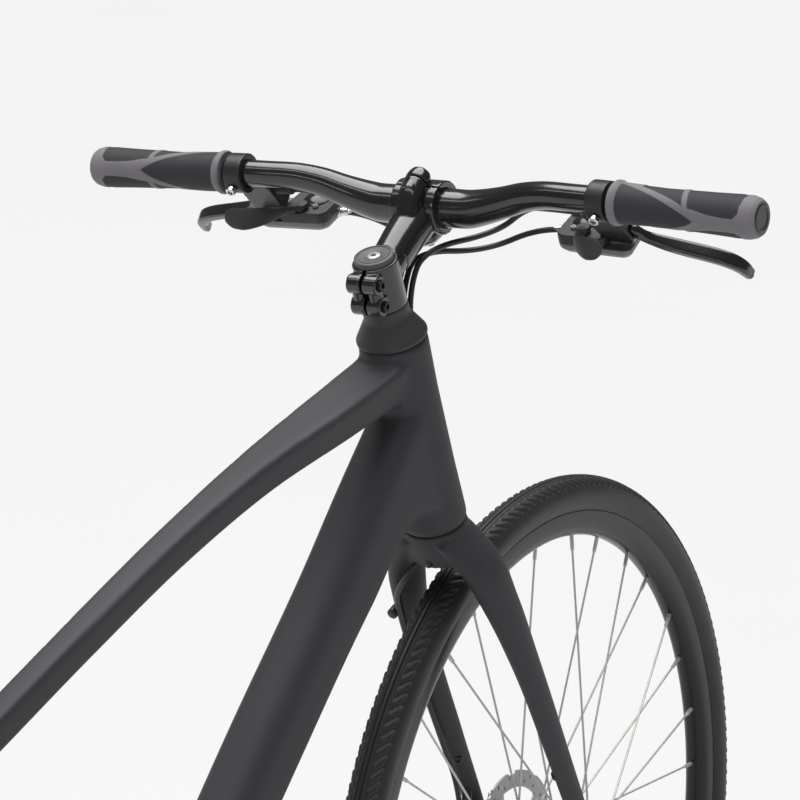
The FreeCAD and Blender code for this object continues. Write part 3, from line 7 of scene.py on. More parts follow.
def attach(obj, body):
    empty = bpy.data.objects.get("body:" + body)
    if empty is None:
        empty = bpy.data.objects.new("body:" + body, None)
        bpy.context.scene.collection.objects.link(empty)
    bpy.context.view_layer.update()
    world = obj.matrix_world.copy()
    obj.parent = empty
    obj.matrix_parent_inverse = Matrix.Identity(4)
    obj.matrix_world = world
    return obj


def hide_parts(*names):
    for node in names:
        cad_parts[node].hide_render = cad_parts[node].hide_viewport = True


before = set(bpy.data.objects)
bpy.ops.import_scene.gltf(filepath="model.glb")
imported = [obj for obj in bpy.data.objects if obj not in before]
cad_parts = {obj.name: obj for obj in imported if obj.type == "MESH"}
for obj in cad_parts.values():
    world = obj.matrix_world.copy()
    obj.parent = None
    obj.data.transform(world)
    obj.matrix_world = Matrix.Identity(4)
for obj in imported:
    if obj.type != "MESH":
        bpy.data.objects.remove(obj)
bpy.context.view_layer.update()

# Camera: stands behind the bike on its right, a little above the bar, with a long lens.
# Its place was solved from the photograph; angles in degrees, distances in metres.
CROWN = np.array([0.362143, 0.0, 0.708722])
AIM = CROWN + np.array([-0.04713, 0, 0.11269])
DISTANCE = 2.87668
FOCAL_PIXELS, PHOTO_PIXELS, SENSOR_MM = 3584.94, 800, 36
turn, lift, roll = np.radians([-52.58, 15.03, 0.17])
back = np.array([math.sin(turn) * math.cos(lift), -math.cos(turn) * math.cos(lift), math.sin(lift)])
across = np.cross([0, 0, 1], back)
across /= np.linalg.norm(across)
rise = np.cross(back, across)
axes = np.array([
    across * math.cos(roll) + rise * math.sin(roll), rise * math.cos(roll) - across * math.sin(roll), back])
eye = AIM + back * DISTANCE
lens = bpy.data.cameras.new("view")
lens.lens = FOCAL_PIXELS * SENSOR_MM / PHOTO_PIXELS
lens.clip_end = 100
viewer = bpy.data.objects.new("view", lens)
bpy.context.scene.collection.objects.link(viewer)
viewer.matrix_world = Matrix([list(row) + [p] for row, p in zip(axes.T, eye)] + [[0, 0, 0, 1]])
bpy.context.scene.camera = viewer
bpy.context.scene.view_settings.view_transform = "Standard"

# Studio: a pale sweep of floor under one very broad soft light from above. The sides stay dim, though the
# camera sees them pale, and two low-powered strips parallel to the bar draw the bright lines on gloss black.
world = bpy.data.worlds.new("studio")
world.use_nodes = True
sky = world.node_tree
seen = sky.nodes.new("ShaderNodeLightPath")
shade = sky.nodes.new("ShaderNodeMix")
shade.data_type = "RGBA"
shade.inputs["A"].default_value = (0.12, 0.12, 0.125, 1)
shade.inputs["B"].default_value = (0.90, 0.90, 0.90, 1)
sky.links.new(seen.outputs["Is Camera Ray"], shade.inputs["Factor"])
sky.links.new(shade.outputs["Result"], sky.nodes["Background"].inputs["Color"])
bpy.context.scene.world = world
dome = bpy.data.lights.new("dome", "SUN")
dome.energy = 4.28
dome.angle = math.radians(60)
dome_object = bpy.data.objects.new("dome", dome)
dome_object.rotation_euler = np.radians([-10, 5, 0])
bpy.context.scene.collection.objects.link(dome_object)
BAR_SPOT = np.array([0.3, 0, 0.95])
STRIPS = [("rear_strip", (-2.6, -0.4, 1.9), 0.16, 9), ("high_strip", (-1.2, 0.3, 3.0), 0.2, 9)]
for name, place, wide, watts in STRIPS:
    strip = bpy.data.lights.new(name, "AREA")
    strip.shape = "RECTANGLE"
    strip.size = 3.2
    strip.size_y = wide
    strip.energy = watts
    aim = np.array(place) - BAR_SPOT
    aim /= np.linalg.norm(aim)
    along = np.array([0.0, 1, 0]) - aim * aim[1]
    along /= np.linalg.norm(along)
    facing = np.stack([along, np.cross(aim, along), aim], 1)
    holder = bpy.data.objects.new(name, strip)
    bpy.context.scene.collection.objects.link(holder)
    holder.matrix_world = Matrix([list(row) + [p] for row, p in zip(facing, place)] + [[0, 0, 0, 1]])

# Frame: hydroformed alloy tubes, welded and smoothed at the head, in satin charcoal paint.
# The tubes' sections are lofted, joined and relaxed so that each weld becomes one flowing fillet.
UP = np.array([-0.325568, 0, 0.945519])
AHEAD = np.array([0.945519, 0, 0.325568])
LEFT = np.array([0.0, 1.0, 0.0])
FORWARD = np.array([1.0, 0.0, 0.0])
HIGH = np.array([0.0, 0.0, 1.0])
CRANK = np.array([-0.105669, 0, 0.278])
SEAT = np.array([-0.292372, 0, 0.956305])
SEAT_AHEAD = np.array([0.956305, 0, 0.292372])
ODD_WAY = np.array([0.31, 0.17, 0.93])


def head(s, ahead=0.0, side=0.0):
    """A point s mm up the steering axis, then mm ahead of it and to its left."""
    return CROWN + (UP * s + AHEAD * ahead + LEFT * side) / 1000


def local(x, z):
    """A point in the middle plane, mm from the foot of the head tube."""
    return CROWN + np.array([x, 0, z]) / 1000


def rounded(corners, steps=7):
    """A flat outline in metres from mm corners (x, y, r): each is an arc of r that touches both sides."""
    c = np.array(corners, float) / 1000
    p, r = c[:, :2], c[:, 2:]
    back = np.roll(p, 1, 0) - p
    on = np.roll(p, -1, 0) - p
    back /= np.linalg.norm(back, axis=1, keepdims=True)
    on /= np.linalg.norm(on, axis=1, keepdims=True)
    half = np.arccos((back * on).sum(1, keepdims=True)) / 2
    middle = p + (back + on) / np.linalg.norm(back + on, axis=1, keepdims=True) * r / np.sin(half)
    sweep = (math.pi - 2 * half)[:, None]
    u = np.linspace(0, 1, steps)[None, :, None]
    first = (p + back * r / np.tan(half) - middle)[:, None]
    last = (p + on * r / np.tan(half) - middle)[:, None]
    arcs = (np.sin((1 - u) * sweep) * first + np.sin(u * sweep) * last) / np.sin(sweep)
    return (middle[:, None] + arcs).reshape(-1, 2)


def ring(origin, across, upward, flat):
    """A flat outline set in space on two directions."""
    return origin + flat[:, :1] * across + flat[:, 1:] * upward


def circle(origin, across, upward, a, b, steps=40):
    """An ellipse of half sizes a and b in mm."""
    w = np.linspace(0, 2 * math.pi, steps, endpoint=False)
    return ring(origin, across, upward, np.stack([np.cos(w) * a, np.sin(w) * b], 1) / 1000)


def smoothed(rows, count):
    """Rows on cubic Hermite curves through the given ones.

    Slopes are differences over the length between row centres.
    """
    p = np.array(rows, float)
    middle = p.reshape(len(p), -1, p.shape[-1]).mean(1)[:, :3]
    t = np.concatenate([[0], np.cumsum(np.linalg.norm(np.diff(middle, axis=0), axis=1))])
    slope = np.gradient(p, t, axis=0)
    u = np.linspace(0, t[-1], count)
    k = np.clip(np.searchsorted(t, u, "right") - 1, 0, len(t) - 2)
    wide = (t[k + 1] - t[k]).reshape((-1,) + (1,) * (p.ndim - 1))
    x = ((u - t[k]) / (t[k + 1] - t[k])).reshape(wide.shape)
    return ((2 * x**3 - 3 * x**2 + 1) * p[k] + (x**3 - 2 * x**2 + x) * wide * slope[k]
            + (3 * x**2 - 2 * x**3) * p[k + 1] + (x**3 - x**2) * wide * slope[k + 1])


def skin(rings, caps=True, loop=False):
    """Points and faces of a surface over rings of points; loop joins the last ring to the first."""
    n, m = rings.shape[:2]
    row, col = np.divmod(np.arange((n if loop else n - 1) * m), m)
    on, beside = (row + 1) % n, (col + 1) % m
    quads = np.stack([row * m + col, row * m + beside, on * m + beside, on * m + col], 1)
    ends = [np.arange(m)[::-1], np.arange((n - 1) * m, n * m)] if caps else []
    return rings.reshape(-1, 3), [quads] + [end[None] for end in ends]


def rod(a, b, r, steps=40):
    """A closed round bar from a to b, r in mm; ODD_WAY is along no bar, so it gives a square side."""
    axis = (b - a) / np.linalg.norm(b - a)
    side = np.cross(axis, ODD_WAY)
    side /= np.linalg.norm(side)
    return skin(np.stack([circle(p, side, np.cross(axis, side), r, r, steps) for p in (a, b)]))


def piece(name, parts, material, body, *nodes):
    """One smooth-shaded mesh from parts, riding on a body in place of CAD nodes."""
    shift = np.cumsum([0] + [len(v) for v, f in parts])
    faces = [row for (v, f), s in zip(parts, shift) for block in f for row in (block + s).tolist()]
    mesh = bpy.data.meshes.new(name)
    mesh.from_pydata(np.concatenate([v for v, f in parts]), [], faces)
    mesh.materials.append(material)
    mesh.shade_smooth()
    mesh.set_sharp_from_angle(angle=math.radians(40))
    thing = bpy.data.objects.new(name, mesh)
    bpy.context.scene.collection.objects.link(thing)
    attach(thing, body)
    if nodes:
        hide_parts(*nodes)
    return thing


def relaxed(thing, voxel, rounds):
    """Joins a piece's parts on a grid of voxel mm, then eases it, so that edges round and welds fill."""
    grid = thing.modifiers.new("joined", "REMESH")
    grid.mode = "VOXEL"
    grid.voxel_size = voxel / 1000
    grid.use_smooth_shade = True
    ease = thing.modifiers.new("eased", "SMOOTH")
    ease.factor = 0.5
    ease.iterations = rounds
    return thing


grain = bpy.data.node_groups.new("grain", "ShaderNodeTree")
grain.interface.new_socket("Vector", in_out="INPUT", socket_type="NodeSocketVector")
grain.interface.new_socket("Broad", in_out="INPUT", socket_type="NodeSocketFloat")
grain.interface.new_socket("Fine", in_out="INPUT", socket_type="NodeSocketFloat")
grain.interface.new_socket("Drift", in_out="OUTPUT", socket_type="NodeSocketFloat")
grain.interface.new_socket("Relief", in_out="OUTPUT", socket_type="NodeSocketFloat")
entry = grain.nodes.new("NodeGroupInput")
leave = grain.nodes.new("NodeGroupOutput")
for size, out, detail in (("Broad", "Drift", 4.0), ("Fine", "Relief", 2.0)):
    noise = grain.nodes.new("ShaderNodeTexNoise")
    noise.inputs["Detail"].default_value = detail
    grain.links.new(entry.outputs["Vector"], noise.inputs["Vector"])
    grain.links.new(entry.outputs[size], noise.inputs["Scale"])
    grain.links.new(noise.outputs["Fac"], leave.inputs[out])


def surface(name, dark, light, rough, broad, fine, relief, metal=0.0, coat=0.0, shine=0.5):
    """A material whose colour drifts from dark to light over broad mm, with a relief of fine mm grain."""
    made = bpy.data.materials.new(name)
    made.use_nodes = True
    nodes, links = made.node_tree.nodes, made.node_tree.links
    shader = nodes["Principled BSDF"]
    shader.inputs["Metallic"].default_value = metal
    shader.inputs["Coat Weight"].default_value = coat
    shader.inputs["Specular IOR Level"].default_value = shine
    shader.inputs["Coat Roughness"].default_value = 0.08
    where = nodes.new("ShaderNodeTexCoord")
    spots = nodes.new("ShaderNodeGroup")
    spots.node_tree = grain
    spots.inputs["Broad"].default_value = 1000 / broad
    spots.inputs["Fine"].default_value = 1000 / fine
    links.new(where.outputs["Object"], spots.inputs["Vector"])
    ramp = nodes.new("ShaderNodeValToRGB")
    ramp.color_ramp.elements[0].position = 0.3
    ramp.color_ramp.elements[0].color = (*dark, 1)
    ramp.color_ramp.elements[1].position = 0.7
    ramp.color_ramp.elements[1].color = (*light, 1)
    links.new(spots.outputs["Drift"], ramp.inputs["Fac"])
    links.new(ramp.outputs["Color"], shader.inputs["Base Color"])
    gloss = nodes.new("ShaderNodeMapRange")
    gloss.inputs["To Min"].default_value = rough * 0.88
    gloss.inputs["To Max"].default_value = rough * 1.12
    links.new(spots.outputs["Relief"], gloss.inputs["Value"])
    links.new(gloss.outputs["Result"], shader.inputs["Roughness"])
    bump = nodes.new("ShaderNodeBump")
    bump.inputs["Strength"].default_value = 0.6
    bump.inputs["Distance"].default_value = relief / 1000
    links.new(spots.outputs["Relief"], bump.inputs["Height"])
    links.new(bump.outputs["Normal"], shader.inputs["Normal"])
    return made


satin = surface(
    "satin_charcoal", (0.045, 0.044, 0.049), (0.050, 0.049, 0.054), 0.56, 180, 0.9, 0.012, shine=0.25)
knee = local(-222, -132)
foot_up = np.array([-(knee - CRANK)[2], 0, (knee - CRANK)[0]]) / np.linalg.norm(knee - CRANK)
mid_up = np.array([-168.7, 0, 147.0]) / math.hypot(168.7, 147.0)
shin = knee - CRANK
# middle, upward direction, half width, lower and upper edge, corner radius
down_line = [
    (CRANK + shin * 0.0155, foot_up, 23, -18.5, 18.5, 12),
    (CRANK + shin * 0.13, foot_up, 23.5, -21, 21, 13),
    (CRANK + shin * 0.5, foot_up, 25.3, -27, 27, 17),
    (knee, mid_up, 26, -30, 30, 20),
    (local(-130, -26.5), mid_up, 26, -31, 30.5, 20),
    (local(-72, 38), mid_up, 25.5, -37, 36, 19),
    (head(66), UP, 24.5, -63, 68, 17)]
down_rings = []
for origin, upward, w, a, b, r in down_line:
    flat = rounded([(-w, a, r), (w, a, r), (w, b, r), (-w, b, r)], 9)
    down_rings.append(ring(origin, LEFT, upward, flat))
# ahead and up from the foot of the head tube, half width, depth
top_line = [
    (-131, 133, 25.5, 33), (-231, 105.5, 19, 30), (-330, 70, 15.5, 29),
    (-429, 27.5, 14.3, 29), (-550, -28, 13.9, 29), (-594, -48, 13.8, 29)]
top_rings = []
for i, (x, z, half, depth) in enumerate([(0, 0, 26.5, 38)] + top_line):
    near, far = top_line[max(i - 2, 0)], top_line[min(i, len(top_line) - 1)]
    upward = np.array([far[1] - near[1], 0, near[0] - far[0]]) if i else UP
    upward = upward / np.linalg.norm(upward)
    flat = rounded([(-half, 0, 5), (-0.62 * half, -depth, 8), (0.62 * half, -depth, 8), (half, 0, 5)], 9)
    top_rings.append(ring(local(x, z) if i else head(165), LEFT, upward, flat))
barrel_line = [(0.7, 28), (53, 27.2), (124, 27.2), (176.7, 28.6)]
barrel = np.stack([circle(head(s), AHEAD, LEFT, r, r, 72) for s, r in barrel_line])
tubes = [
    skin(smoothed(down_rings, 90)), skin(smoothed(top_rings, 90)), skin(barrel),
    rod(CRANK, CRANK + SEAT * 0.445, 17.4, 56),
    rod(CRANK - LEFT * 0.034, CRANK + LEFT * 0.034, 20.5, 56)]
for bottle_boss in (0.19, 0.254):
    spot = CRANK + SEAT * bottle_boss
    tubes.append(rod(spot + SEAT_AHEAD * 0.012, spot + SEAT_AHEAD * 0.0193, 5.5))
frame_tubes = piece("frame_tubes", tubes, satin, "frame", "down_tube", "top_tube", "head_tube", "seat_tube")
relaxed(frame_tubes, 2.2, 24)


# Stays: tapered chainstays with slotted dropouts and slim seatstays, welded and painted with the frame.
# Their solids carry the right form, so their edges are only eased.
def eased(node, voxel, rounds, material, body):
    """A CAD node's form, merged into closed shells, rejoined on a fine grid and relaxed."""
    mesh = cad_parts[node].data.copy()
    mesh.name = node + "_form"
    thing = bpy.data.objects.new(node + "_form", mesh)
    bpy.context.scene.collection.objects.link(thing)
    weld = thing.modifiers.new("merged", "WELD")
    weld.merge_threshold = 0.00002
    mesh.materials.clear()
    mesh.materials.append(material)
    relaxed(thing, voxel, rounds)
    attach(thing, body)
    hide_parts(node)
    return thing


for node in ("chainstays", "seatstays"):
    eased(node, 1.5, 4, satin, "frame")

# Fork: a tapered crown and two bladed legs in the frame's paint, slotted at the tips,
# with a threaded eyelet on each blade. Steered parts are drawn straight, then turned by the rest angle.
REST_TURN = 7
angle = math.radians(REST_TURN)
cross = np.array([[0, -UP[2], UP[1]], [UP[2], 0, -UP[0]], [-UP[1], UP[0], 0]])
STEER = np.eye(3) + math.sin(angle) * cross + (1 - math.cos(angle)) * cross @ cross


def turned(part):
    """A part drawn straight ahead, turned about the steering axis to its rest angle."""
    points, faces = part
    return CROWN + (points - CROWN) @ STEER.T, faces


# up the steering axis, ahead of it, outward, half depth, half width
fork_line = [
    (-8, -2, 17, 24, 12), (-40, 1, 35.5, 23.5, 13.5), (-80, 4.5, 44, 20, 12), (-140, 12, 49.3, 15.8, 10),
    (-250, 27, 52, 12.5, 8.5), (-345, 40, 53, 10.5, 6.4), (-384, 45.5, 53, 9.5, 2.8)]
# up the steering axis, half width, half depth
crown_line = [(0.4, 27, 27), (-10, 29, 26.5), (-24, 33, 24), (-34, 36, 20)]
legs = [skin(smoothed([circle(head(s), LEFT, AHEAD, a, b, 64) for s, a, b in crown_line], 24))]
tip = [(-12, -14, 6), (12, -14, 6), (12, 10, 4), (9, 26, 4), (-9, 26, 4), (-12, 10, 4)]
for side in (1, -1):
    blade = [circle(head(s, a, side * y), LEFT, AHEAD, b, c, 48) for s, a, y, c, b in fork_line]
    legs.append(skin(smoothed(blade, 110)))
    for_tip = [ring(head(-397.35, 46, side * y), AHEAD, UP, rounded(tip)) for y in (50, 56)]
    legs.append(skin(np.stack(for_tip)))
fork = piece("fork_legs", [turned(part) for part in legs], satin, "steering", "fork")
relaxed(fork, 1.5, 16)

# Eyelets: small steel thread inserts let into the outer faces of the blades.
# Each is a low turned collar with a dark threaded hole.
steel_dark = surface("dark_steel", (0.03, 0.03, 0.03), (0.05, 0.05, 0.05), 0.35, 3, 0.5, 0.01, metal=0.8)


def lathe(profile, origin, axis, steps=64):
    """A turned surface: profile points are (radius, height) in mm about an axis from origin."""
    side = np.cross(axis, ODD_WAY)
    side /= np.linalg.norm(side)
    over = np.cross(axis, side)
    r, h = (np.array(profile, float) / 1000).T
    w = np.linspace(0, 2 * math.pi, steps, endpoint=False)
    spin = np.cos(w)[:, None] * side + np.sin(w)[:, None] * over
    return skin(origin + h[:, None, None] * axis + r[:, None, None] * spin, caps=False)


eyelet = [(0.01, 0.2), (2.0, 0.2), (2.2, 1.5), (3.3, 1.9), (3.9, 1.4), (3.9, -1)]
inserts = [lathe(eyelet, head(-168, 15.8, side * 57.9), LEFT * side, 32) for side in (1, -1)]
piece("fork_eyelets", [turned(part) for part in inserts], steel_dark, "steering")

# Fork fittings: a rubber plug behind the crown, low bosses for a mudguard stay on the backs of the blades,
# and a screwed clip that holds the brake line to the left blade.
bung = [(0.01, 1.3), (3.0, 1.2), (4.2, 0.5), (4.4, -2)]
boss = [(0.01, 0.9), (1.9, 0.9), (2.1, 2.0), (3.6, 2.2), (4.4, 1.4), (4.8, -3)]
backward = -AHEAD * 0.8
fittings = [lathe(bung, head(-27, -23.2, 0), -AHEAD, 36)]
for side in (1, -1):
    face = backward - LEFT * (side * 0.6)
    fittings.append(lathe(boss, head(-270, 21.2, side * 48.2), face, 36))
clip = head(-88, -15.5, 50)
fittings.append(rod(clip + AHEAD * 0.005, clip - AHEAD * 0.004, 4.6, 32))
fittings.append(lathe(bung, clip - AHEAD * 0.0035, -AHEAD, 32))
piece("fork_fittings", [turned(part) for part in fittings], steel_dark, "steering")

# Headset: a moulded matt cone over the upper bearing, open at the front where the cables run in.
# Its solid has the right form, so its edges are only eased.
matt = surface("matt_plastic", (0.036, 0.035, 0.038), (0.042, 0.041, 0.044), 0.5, 40, 0.5, 0.02, shine=0.35)
eased("headset_cover", 0.7, 4, matt, "steering")

# Stem: a forged alloy stem in gloss black, split and pinched behind the steerer by two screws, with a
# two-bolt faceplate over the bar. Lofted shoulders, clamp webs and lugs give it its forged swell.
gloss = surface("gloss_black", (0.010, 0.010, 0.011), (0.013, 0.013, 0.014), 0.2, 60, 1.2, 0.004, coat=0.5)
eased("stem", 0.8, 5, gloss, "steering")
eased("stem_faceplate", 0.7, 4, gloss, "steering")
ALONG = np.array([0.861, 0, 0.5087])
OVER = np.array([-0.5087, 0, 0.861])
BAR = np.array([0.360411, 0, 0.971682])


def stem_oval(ahead, over, a, b):
    """An oval square to the stem's extension, placed in mm ahead of the bar's middle and over it."""
    return circle(BAR + (ALONG * ahead + OVER * over) / 1000, LEFT, OVER, a, b, 56)


extension = [(-64, -0.5, 15.8, 15.2), (-46, 0, 16.6, 16.4), (-28, 0, 17.6, 17), (-8, 0, 19.6, 17.6)]
shoulder = [(-36, 10, 6, 4), (-26, 14.5, 9.4, 7), (-14, 20.5, 10.6, 9), (-0.6, 24, 10.6, 9.4)]
nose = [(0.6, 24, 10.6, 9.4), (7, 24.6, 10.2, 8.8), (11, 25.2, 8.4, 7.6)]
forged = [skin(smoothed([stem_oval(*row) for row in extension], 30))]
for side in (1, -1):
    web = [circle(head(s, -19, side * 7.3), LEFT, AHEAD, 5.9, 6.8, 40) for s in (214, 227, 240)]
    forged.append(skin(np.stack(web)))
lugs = []
for way in (1, -1):
    forged.append(skin(smoothed([stem_oval(x, way * y, a, b) for x, y, a, b in shoulder], 24)))
    lugs.append(skin(smoothed([stem_oval(x, way * y, a, b) for x, y, a, b in nose], 12)))
relaxed(piece("stem_shoulders", [turned(part) for part in forged], gloss, "steering"), 0.9, 8)
relaxed(piece("faceplate_lugs", [turned(part) for part in lugs], gloss, "steering"), 0.9, 3)


# Screws: black socket heads in the stem's clamps, and the pale screw in the middle of the cap.
# Each is a turned head whose hole is drawn out to a hexagon.
def screw(origin, axis, r, high, steps=48):
    """A socket head: the hole's radius follows a hexagon, k / cos of the angle from its nearest flat."""
    outside = [(r, 0), (r, high - 0.6), (r - 0.6, high), (0.56 * r, high)]
    socket = [(0.5 * r, high - 0.4), (0.5 * r, 0.3 * high), (0.01, 0.3 * high)]
    points, faces = lathe(outside + socket, origin, axis, steps)
    rows = points.reshape(7, steps, 3)
    w = np.linspace(0, 2 * math.pi, steps, endpoint=False)
    stretch = 1 / np.cos((w % (math.pi / 3)) - math.pi / 6)
    middle = rows[4:6].mean(1, keepdims=True)
    rows[4:6] = middle + (rows[4:6] - middle) * stretch[:, None]
    return rows.reshape(-1, 3), faces


heads = [screw(head(s, -20, -11.5), -LEFT, 4.4, 5) for s in (217.5, 236.5)]
heads += [screw(BAR + OVER * (way * 0.0254) + ALONG * 0.0085, ALONG, 4.4, 4.5) for way in (1, -1)]
black_steel = surface("black_steel", (0.012, 0.012, 0.012), (0.02, 0.02, 0.02), 0.3, 2, 0.4, 0.01, metal=0.5)
screws = piece("stem_screws", [turned(part) for part in heads], black_steel, "steering", "cockpit_bolts")
pale = surface("pale_alloy", (0.36, 0.36, 0.365), (0.42, 0.42, 0.425), 0.4, 3, 0.4, 0.01, metal=0.6)
cap_head = [(5.6, 0), (5.6, 3.0), (5.2, 3.3), (2.2, 3.3), (2.0, 3.0), (2.0, 1), (0.01, 1)]
piece("cap_screw", [turned(lathe(cap_head, head(248.6), UP))], pale, "steering")

# Top cap: a grey anodised disc with a turned groove near its rim,
# drawn down on the steerer by its screw.
cap_grey = surface("cap_grey", (0.075, 0.075, 0.078), (0.09, 0.09, 0.094), 0.5, 6, 0.3, 0.01, metal=0.2)
cap = [
    (5.7, 0.8), (5.7, 4.6), (6.2, 4.85), (12.6, 4.85), (12.9, 4.4), (13.5, 4.4),
    (13.8, 4.9), (15.3, 4.9), (16.0, 4.4), (16.2, 3.6), (16.2, 0)]
cap_disc = piece("cap_disc", [turned(lathe(cap, head(247), UP, 96))], cap_grey, "steering", "top_cap")

# Handlebar: a butted alloy riser bar in gloss black, thick in the clamp and slim under the grips,
# bent up and slightly back on each side.
# ahead, outward and up from the middle of the clamp, radius
half_bar = [
    (0, 0, 0, 15.9), (0, 30, 0, 15.9), (0, 41, 0.36, 15.6), (-0.5, 54, 2.9, 14.6), (-2.2, 74, 8.3, 13.0),
    (-4.6, 94, 14.4, 11.9), (-7.2, 112, 17.6, 11.3), (-10.72, 142, 18.37, 11.1), (-13.6, 208, 17.2, 11.1),
    (-17.8, 302, 15.4, 11.1)]
bar_line = np.array([(x, -y, z, r) for x, y, z, r in half_bar[:0:-1]] + half_bar) / 1000


def tube(line, rows, steps=40):
    """A tube through points (x, y, z, radius): rings square to the smoothed line, turned with HIGH."""
    spots = smoothed(line, rows)
    way = np.gradient(spots[:, :3], axis=0)
    way /= np.linalg.norm(way, axis=1, keepdims=True)
    over = HIGH - way * way[:, 2:]
    over /= np.linalg.norm(over, axis=1, keepdims=True)
    side = np.cross(over, way)
    w = np.linspace(0, 2 * math.pi, steps, endpoint=False)[None, :, None]
    spin = np.cos(w) * side[:, None] + np.sin(w) * over[:, None]
    return skin(spots[:, None, :3] + spots[:, None, 3:] * spin)


bar_line[:, :3] += BAR
piece("riser_bar", [turned(tube(bar_line, 260, 48))], gloss, "steering", "handlebar")

# Grips: two-shot rubber sleeves. A grey skeleton frames recessed black pads with a fine tooth,
# and a plain plug closes each end.
grip_grey = surface(
    "grip_rubber", (0.185, 0.174, 0.187), (0.205, 0.193, 0.207), 0.66, 12, 0.5, 0.03, shine=0.25)
nodes, links = grip_grey.node_tree.nodes, grip_grey.node_tree.links
pad = nodes.new("ShaderNodeAttribute")
pad.attribute_name = "pad"
tint = nodes.new("ShaderNodeMix")
tint.data_type = "RGBA"
tint.inputs["B"].default_value = (0.040, 0.039, 0.044, 1)
links.new(pad.outputs["Fac"], tint.inputs["Factor"])
links.new(nodes["Color Ramp"].outputs["Color"], tint.inputs["A"])
links.new(tint.outputs["Result"], nodes["Principled BSDF"].inputs["Base Color"])
plug_black = surface("plug_black", (0.012, 0.012, 0.013), (0.016, 0.016, 0.017), 0.35, 4, 0.4, 0.01)
BEND_END, BAR_END = 142, 308


def bar_frame(side, reach):
    """A point on the bar's straight end, mm from the middle, and the way outward along it."""
    inner = np.array([-10.72, side * BEND_END, 18.37])
    out = np.array([-18.0, side * BAR_END, 15.3]) - inner
    share = (reach - BEND_END) / (BAR_END - BEND_END)
    return BAR + (inner + out * share) / 1000, out / np.linalg.norm(out)


GRIP_START, GRIP_LENGTH = 180, 0.1268
RUN_MM, ROUND_MM = 127, 16
SPEAR_TIP, STRUT, COLLAR = 0.59, 0.535, 0.055
for name, side, tilt in (("left", 1, 6), ("right", -1, -19)):
    start, out = bar_frame(side, GRIP_START)
    rear = -FORWARD * math.cos(math.radians(tilt)) + HIGH * math.sin(math.radians(tilt))
    rear -= out * rear.dot(out)
    rear /= np.linalg.norm(rear)
    over = np.cross(rear, out) * -side
    u = np.linspace(0, 1, 190)[:, None]
    w = np.linspace(-math.pi, math.pi, 200, endpoint=False)[None, :]
    size = np.interp(u, [0, 0.01, 0.03, 0.055, 0.35, 0.7, 0.86, 0.94, 0.98, 1],
                     [17.2, 18.1, 18.1, 16.5, 15.7, 16.7, 17.4, 16.9, 15.5, 13.6])
    spear = np.where(u < SPEAR_TIP, np.minimum(2.9 * np.clip(SPEAR_TIP - u, 0, 1) ** 0.81, 1.9), -1)
    tongue = np.interp(u, [0, 0.5, 0.56, 0.60, 0.65, 0.70, 0.80, 0.87, 0.90, 0.93],
                       [0, 0, 0.62, 0.58, 0.49, 0.42, 0.36, 0.36, 0.60, 3.4])
    band = np.maximum(np.where(u < 0.56, spear + 0.36, 0), tongue)
    mid_pad = np.minimum((spear - np.abs(w)) * ROUND_MM, (u - COLLAR) * RUN_MM)
    strut = np.abs(u - STRUT + 0.03 * (np.abs(w) - 0.7)) * RUN_MM - 2.4
    side_pad = np.minimum(np.minimum((np.abs(w) - band) * ROUND_MM, strut), (u - 0.2) * RUN_MM)
    mask = np.clip(np.maximum(mid_pad, side_pad) / 0.8 + 0.5, 0, 1)
    mask = mask * mask * (3 - 2 * mask)
    tooth = 0.10 * mask * np.sin(u * RUN_MM * 3.4) * np.sin(w * 26)
    r = (size - 0.5 * mask + tooth) / 1000
    points = start + out * (GRIP_LENGTH * u[..., None])
    points = points + r[..., None] * (np.cos(w)[..., None] * rear + np.sin(w)[..., None] * over)
    grip = piece(name + "_grip_sleeve", [turned(skin(points))], grip_grey, "steering", name + "_grip")
    grip.data.attributes.new("pad", "FLOAT", "POINT").data.foreach_set("value", mask.ravel())
    plug = [(0.01, 0.35), (8.2, 0.35), (8.9, 0.95), (10.7, 0.95), (11.4, 0.3), (11.4, -3)]
    stopper = turned(lathe(plug, start + out * GRIP_LENGTH, out, 72))
    piece(name + "_grip_plug", [stopper], plug_black, "steering")

# Brake brackets and levers: cast alloy clamps in satin black, and two-finger levers in gloss black
# that swing on them. Their solids have the right form, so their edges are only eased.
cast_black = surface(
    "cast_black", (0.017, 0.0165, 0.018), (0.022, 0.0215, 0.023), 0.38, 30, 0.6, 0.01, shine=0.4)
eased("brake_brackets", 0.8, 4, cast_black, "steering")
for name in ("left", "right"):
    eased(name + "_brake_lever", 0.8, 4, gloss, name + "_brake_lever")

# Clamp screws: one bright socket head behind each bracket,
# which draws its clamp shut on the bar.
CONTROLS = 168
bright = surface("bright_steel", (0.6, 0.6, 0.6), (0.7, 0.7, 0.7), 0.22, 2, 0.4, 0.008, metal=1.0)
heads = []
for side in (1, -1):
    spot, out = bar_frame(side, CONTROLS)
    heads.append(screw(spot - FORWARD * 0.0135 - HIGH * 0.0115, -FORWARD * 0.8 - HIGH * 0.6, 4.2, 4.0))
piece("clamp_screws", [turned(part) for part in heads], bright, "steering")

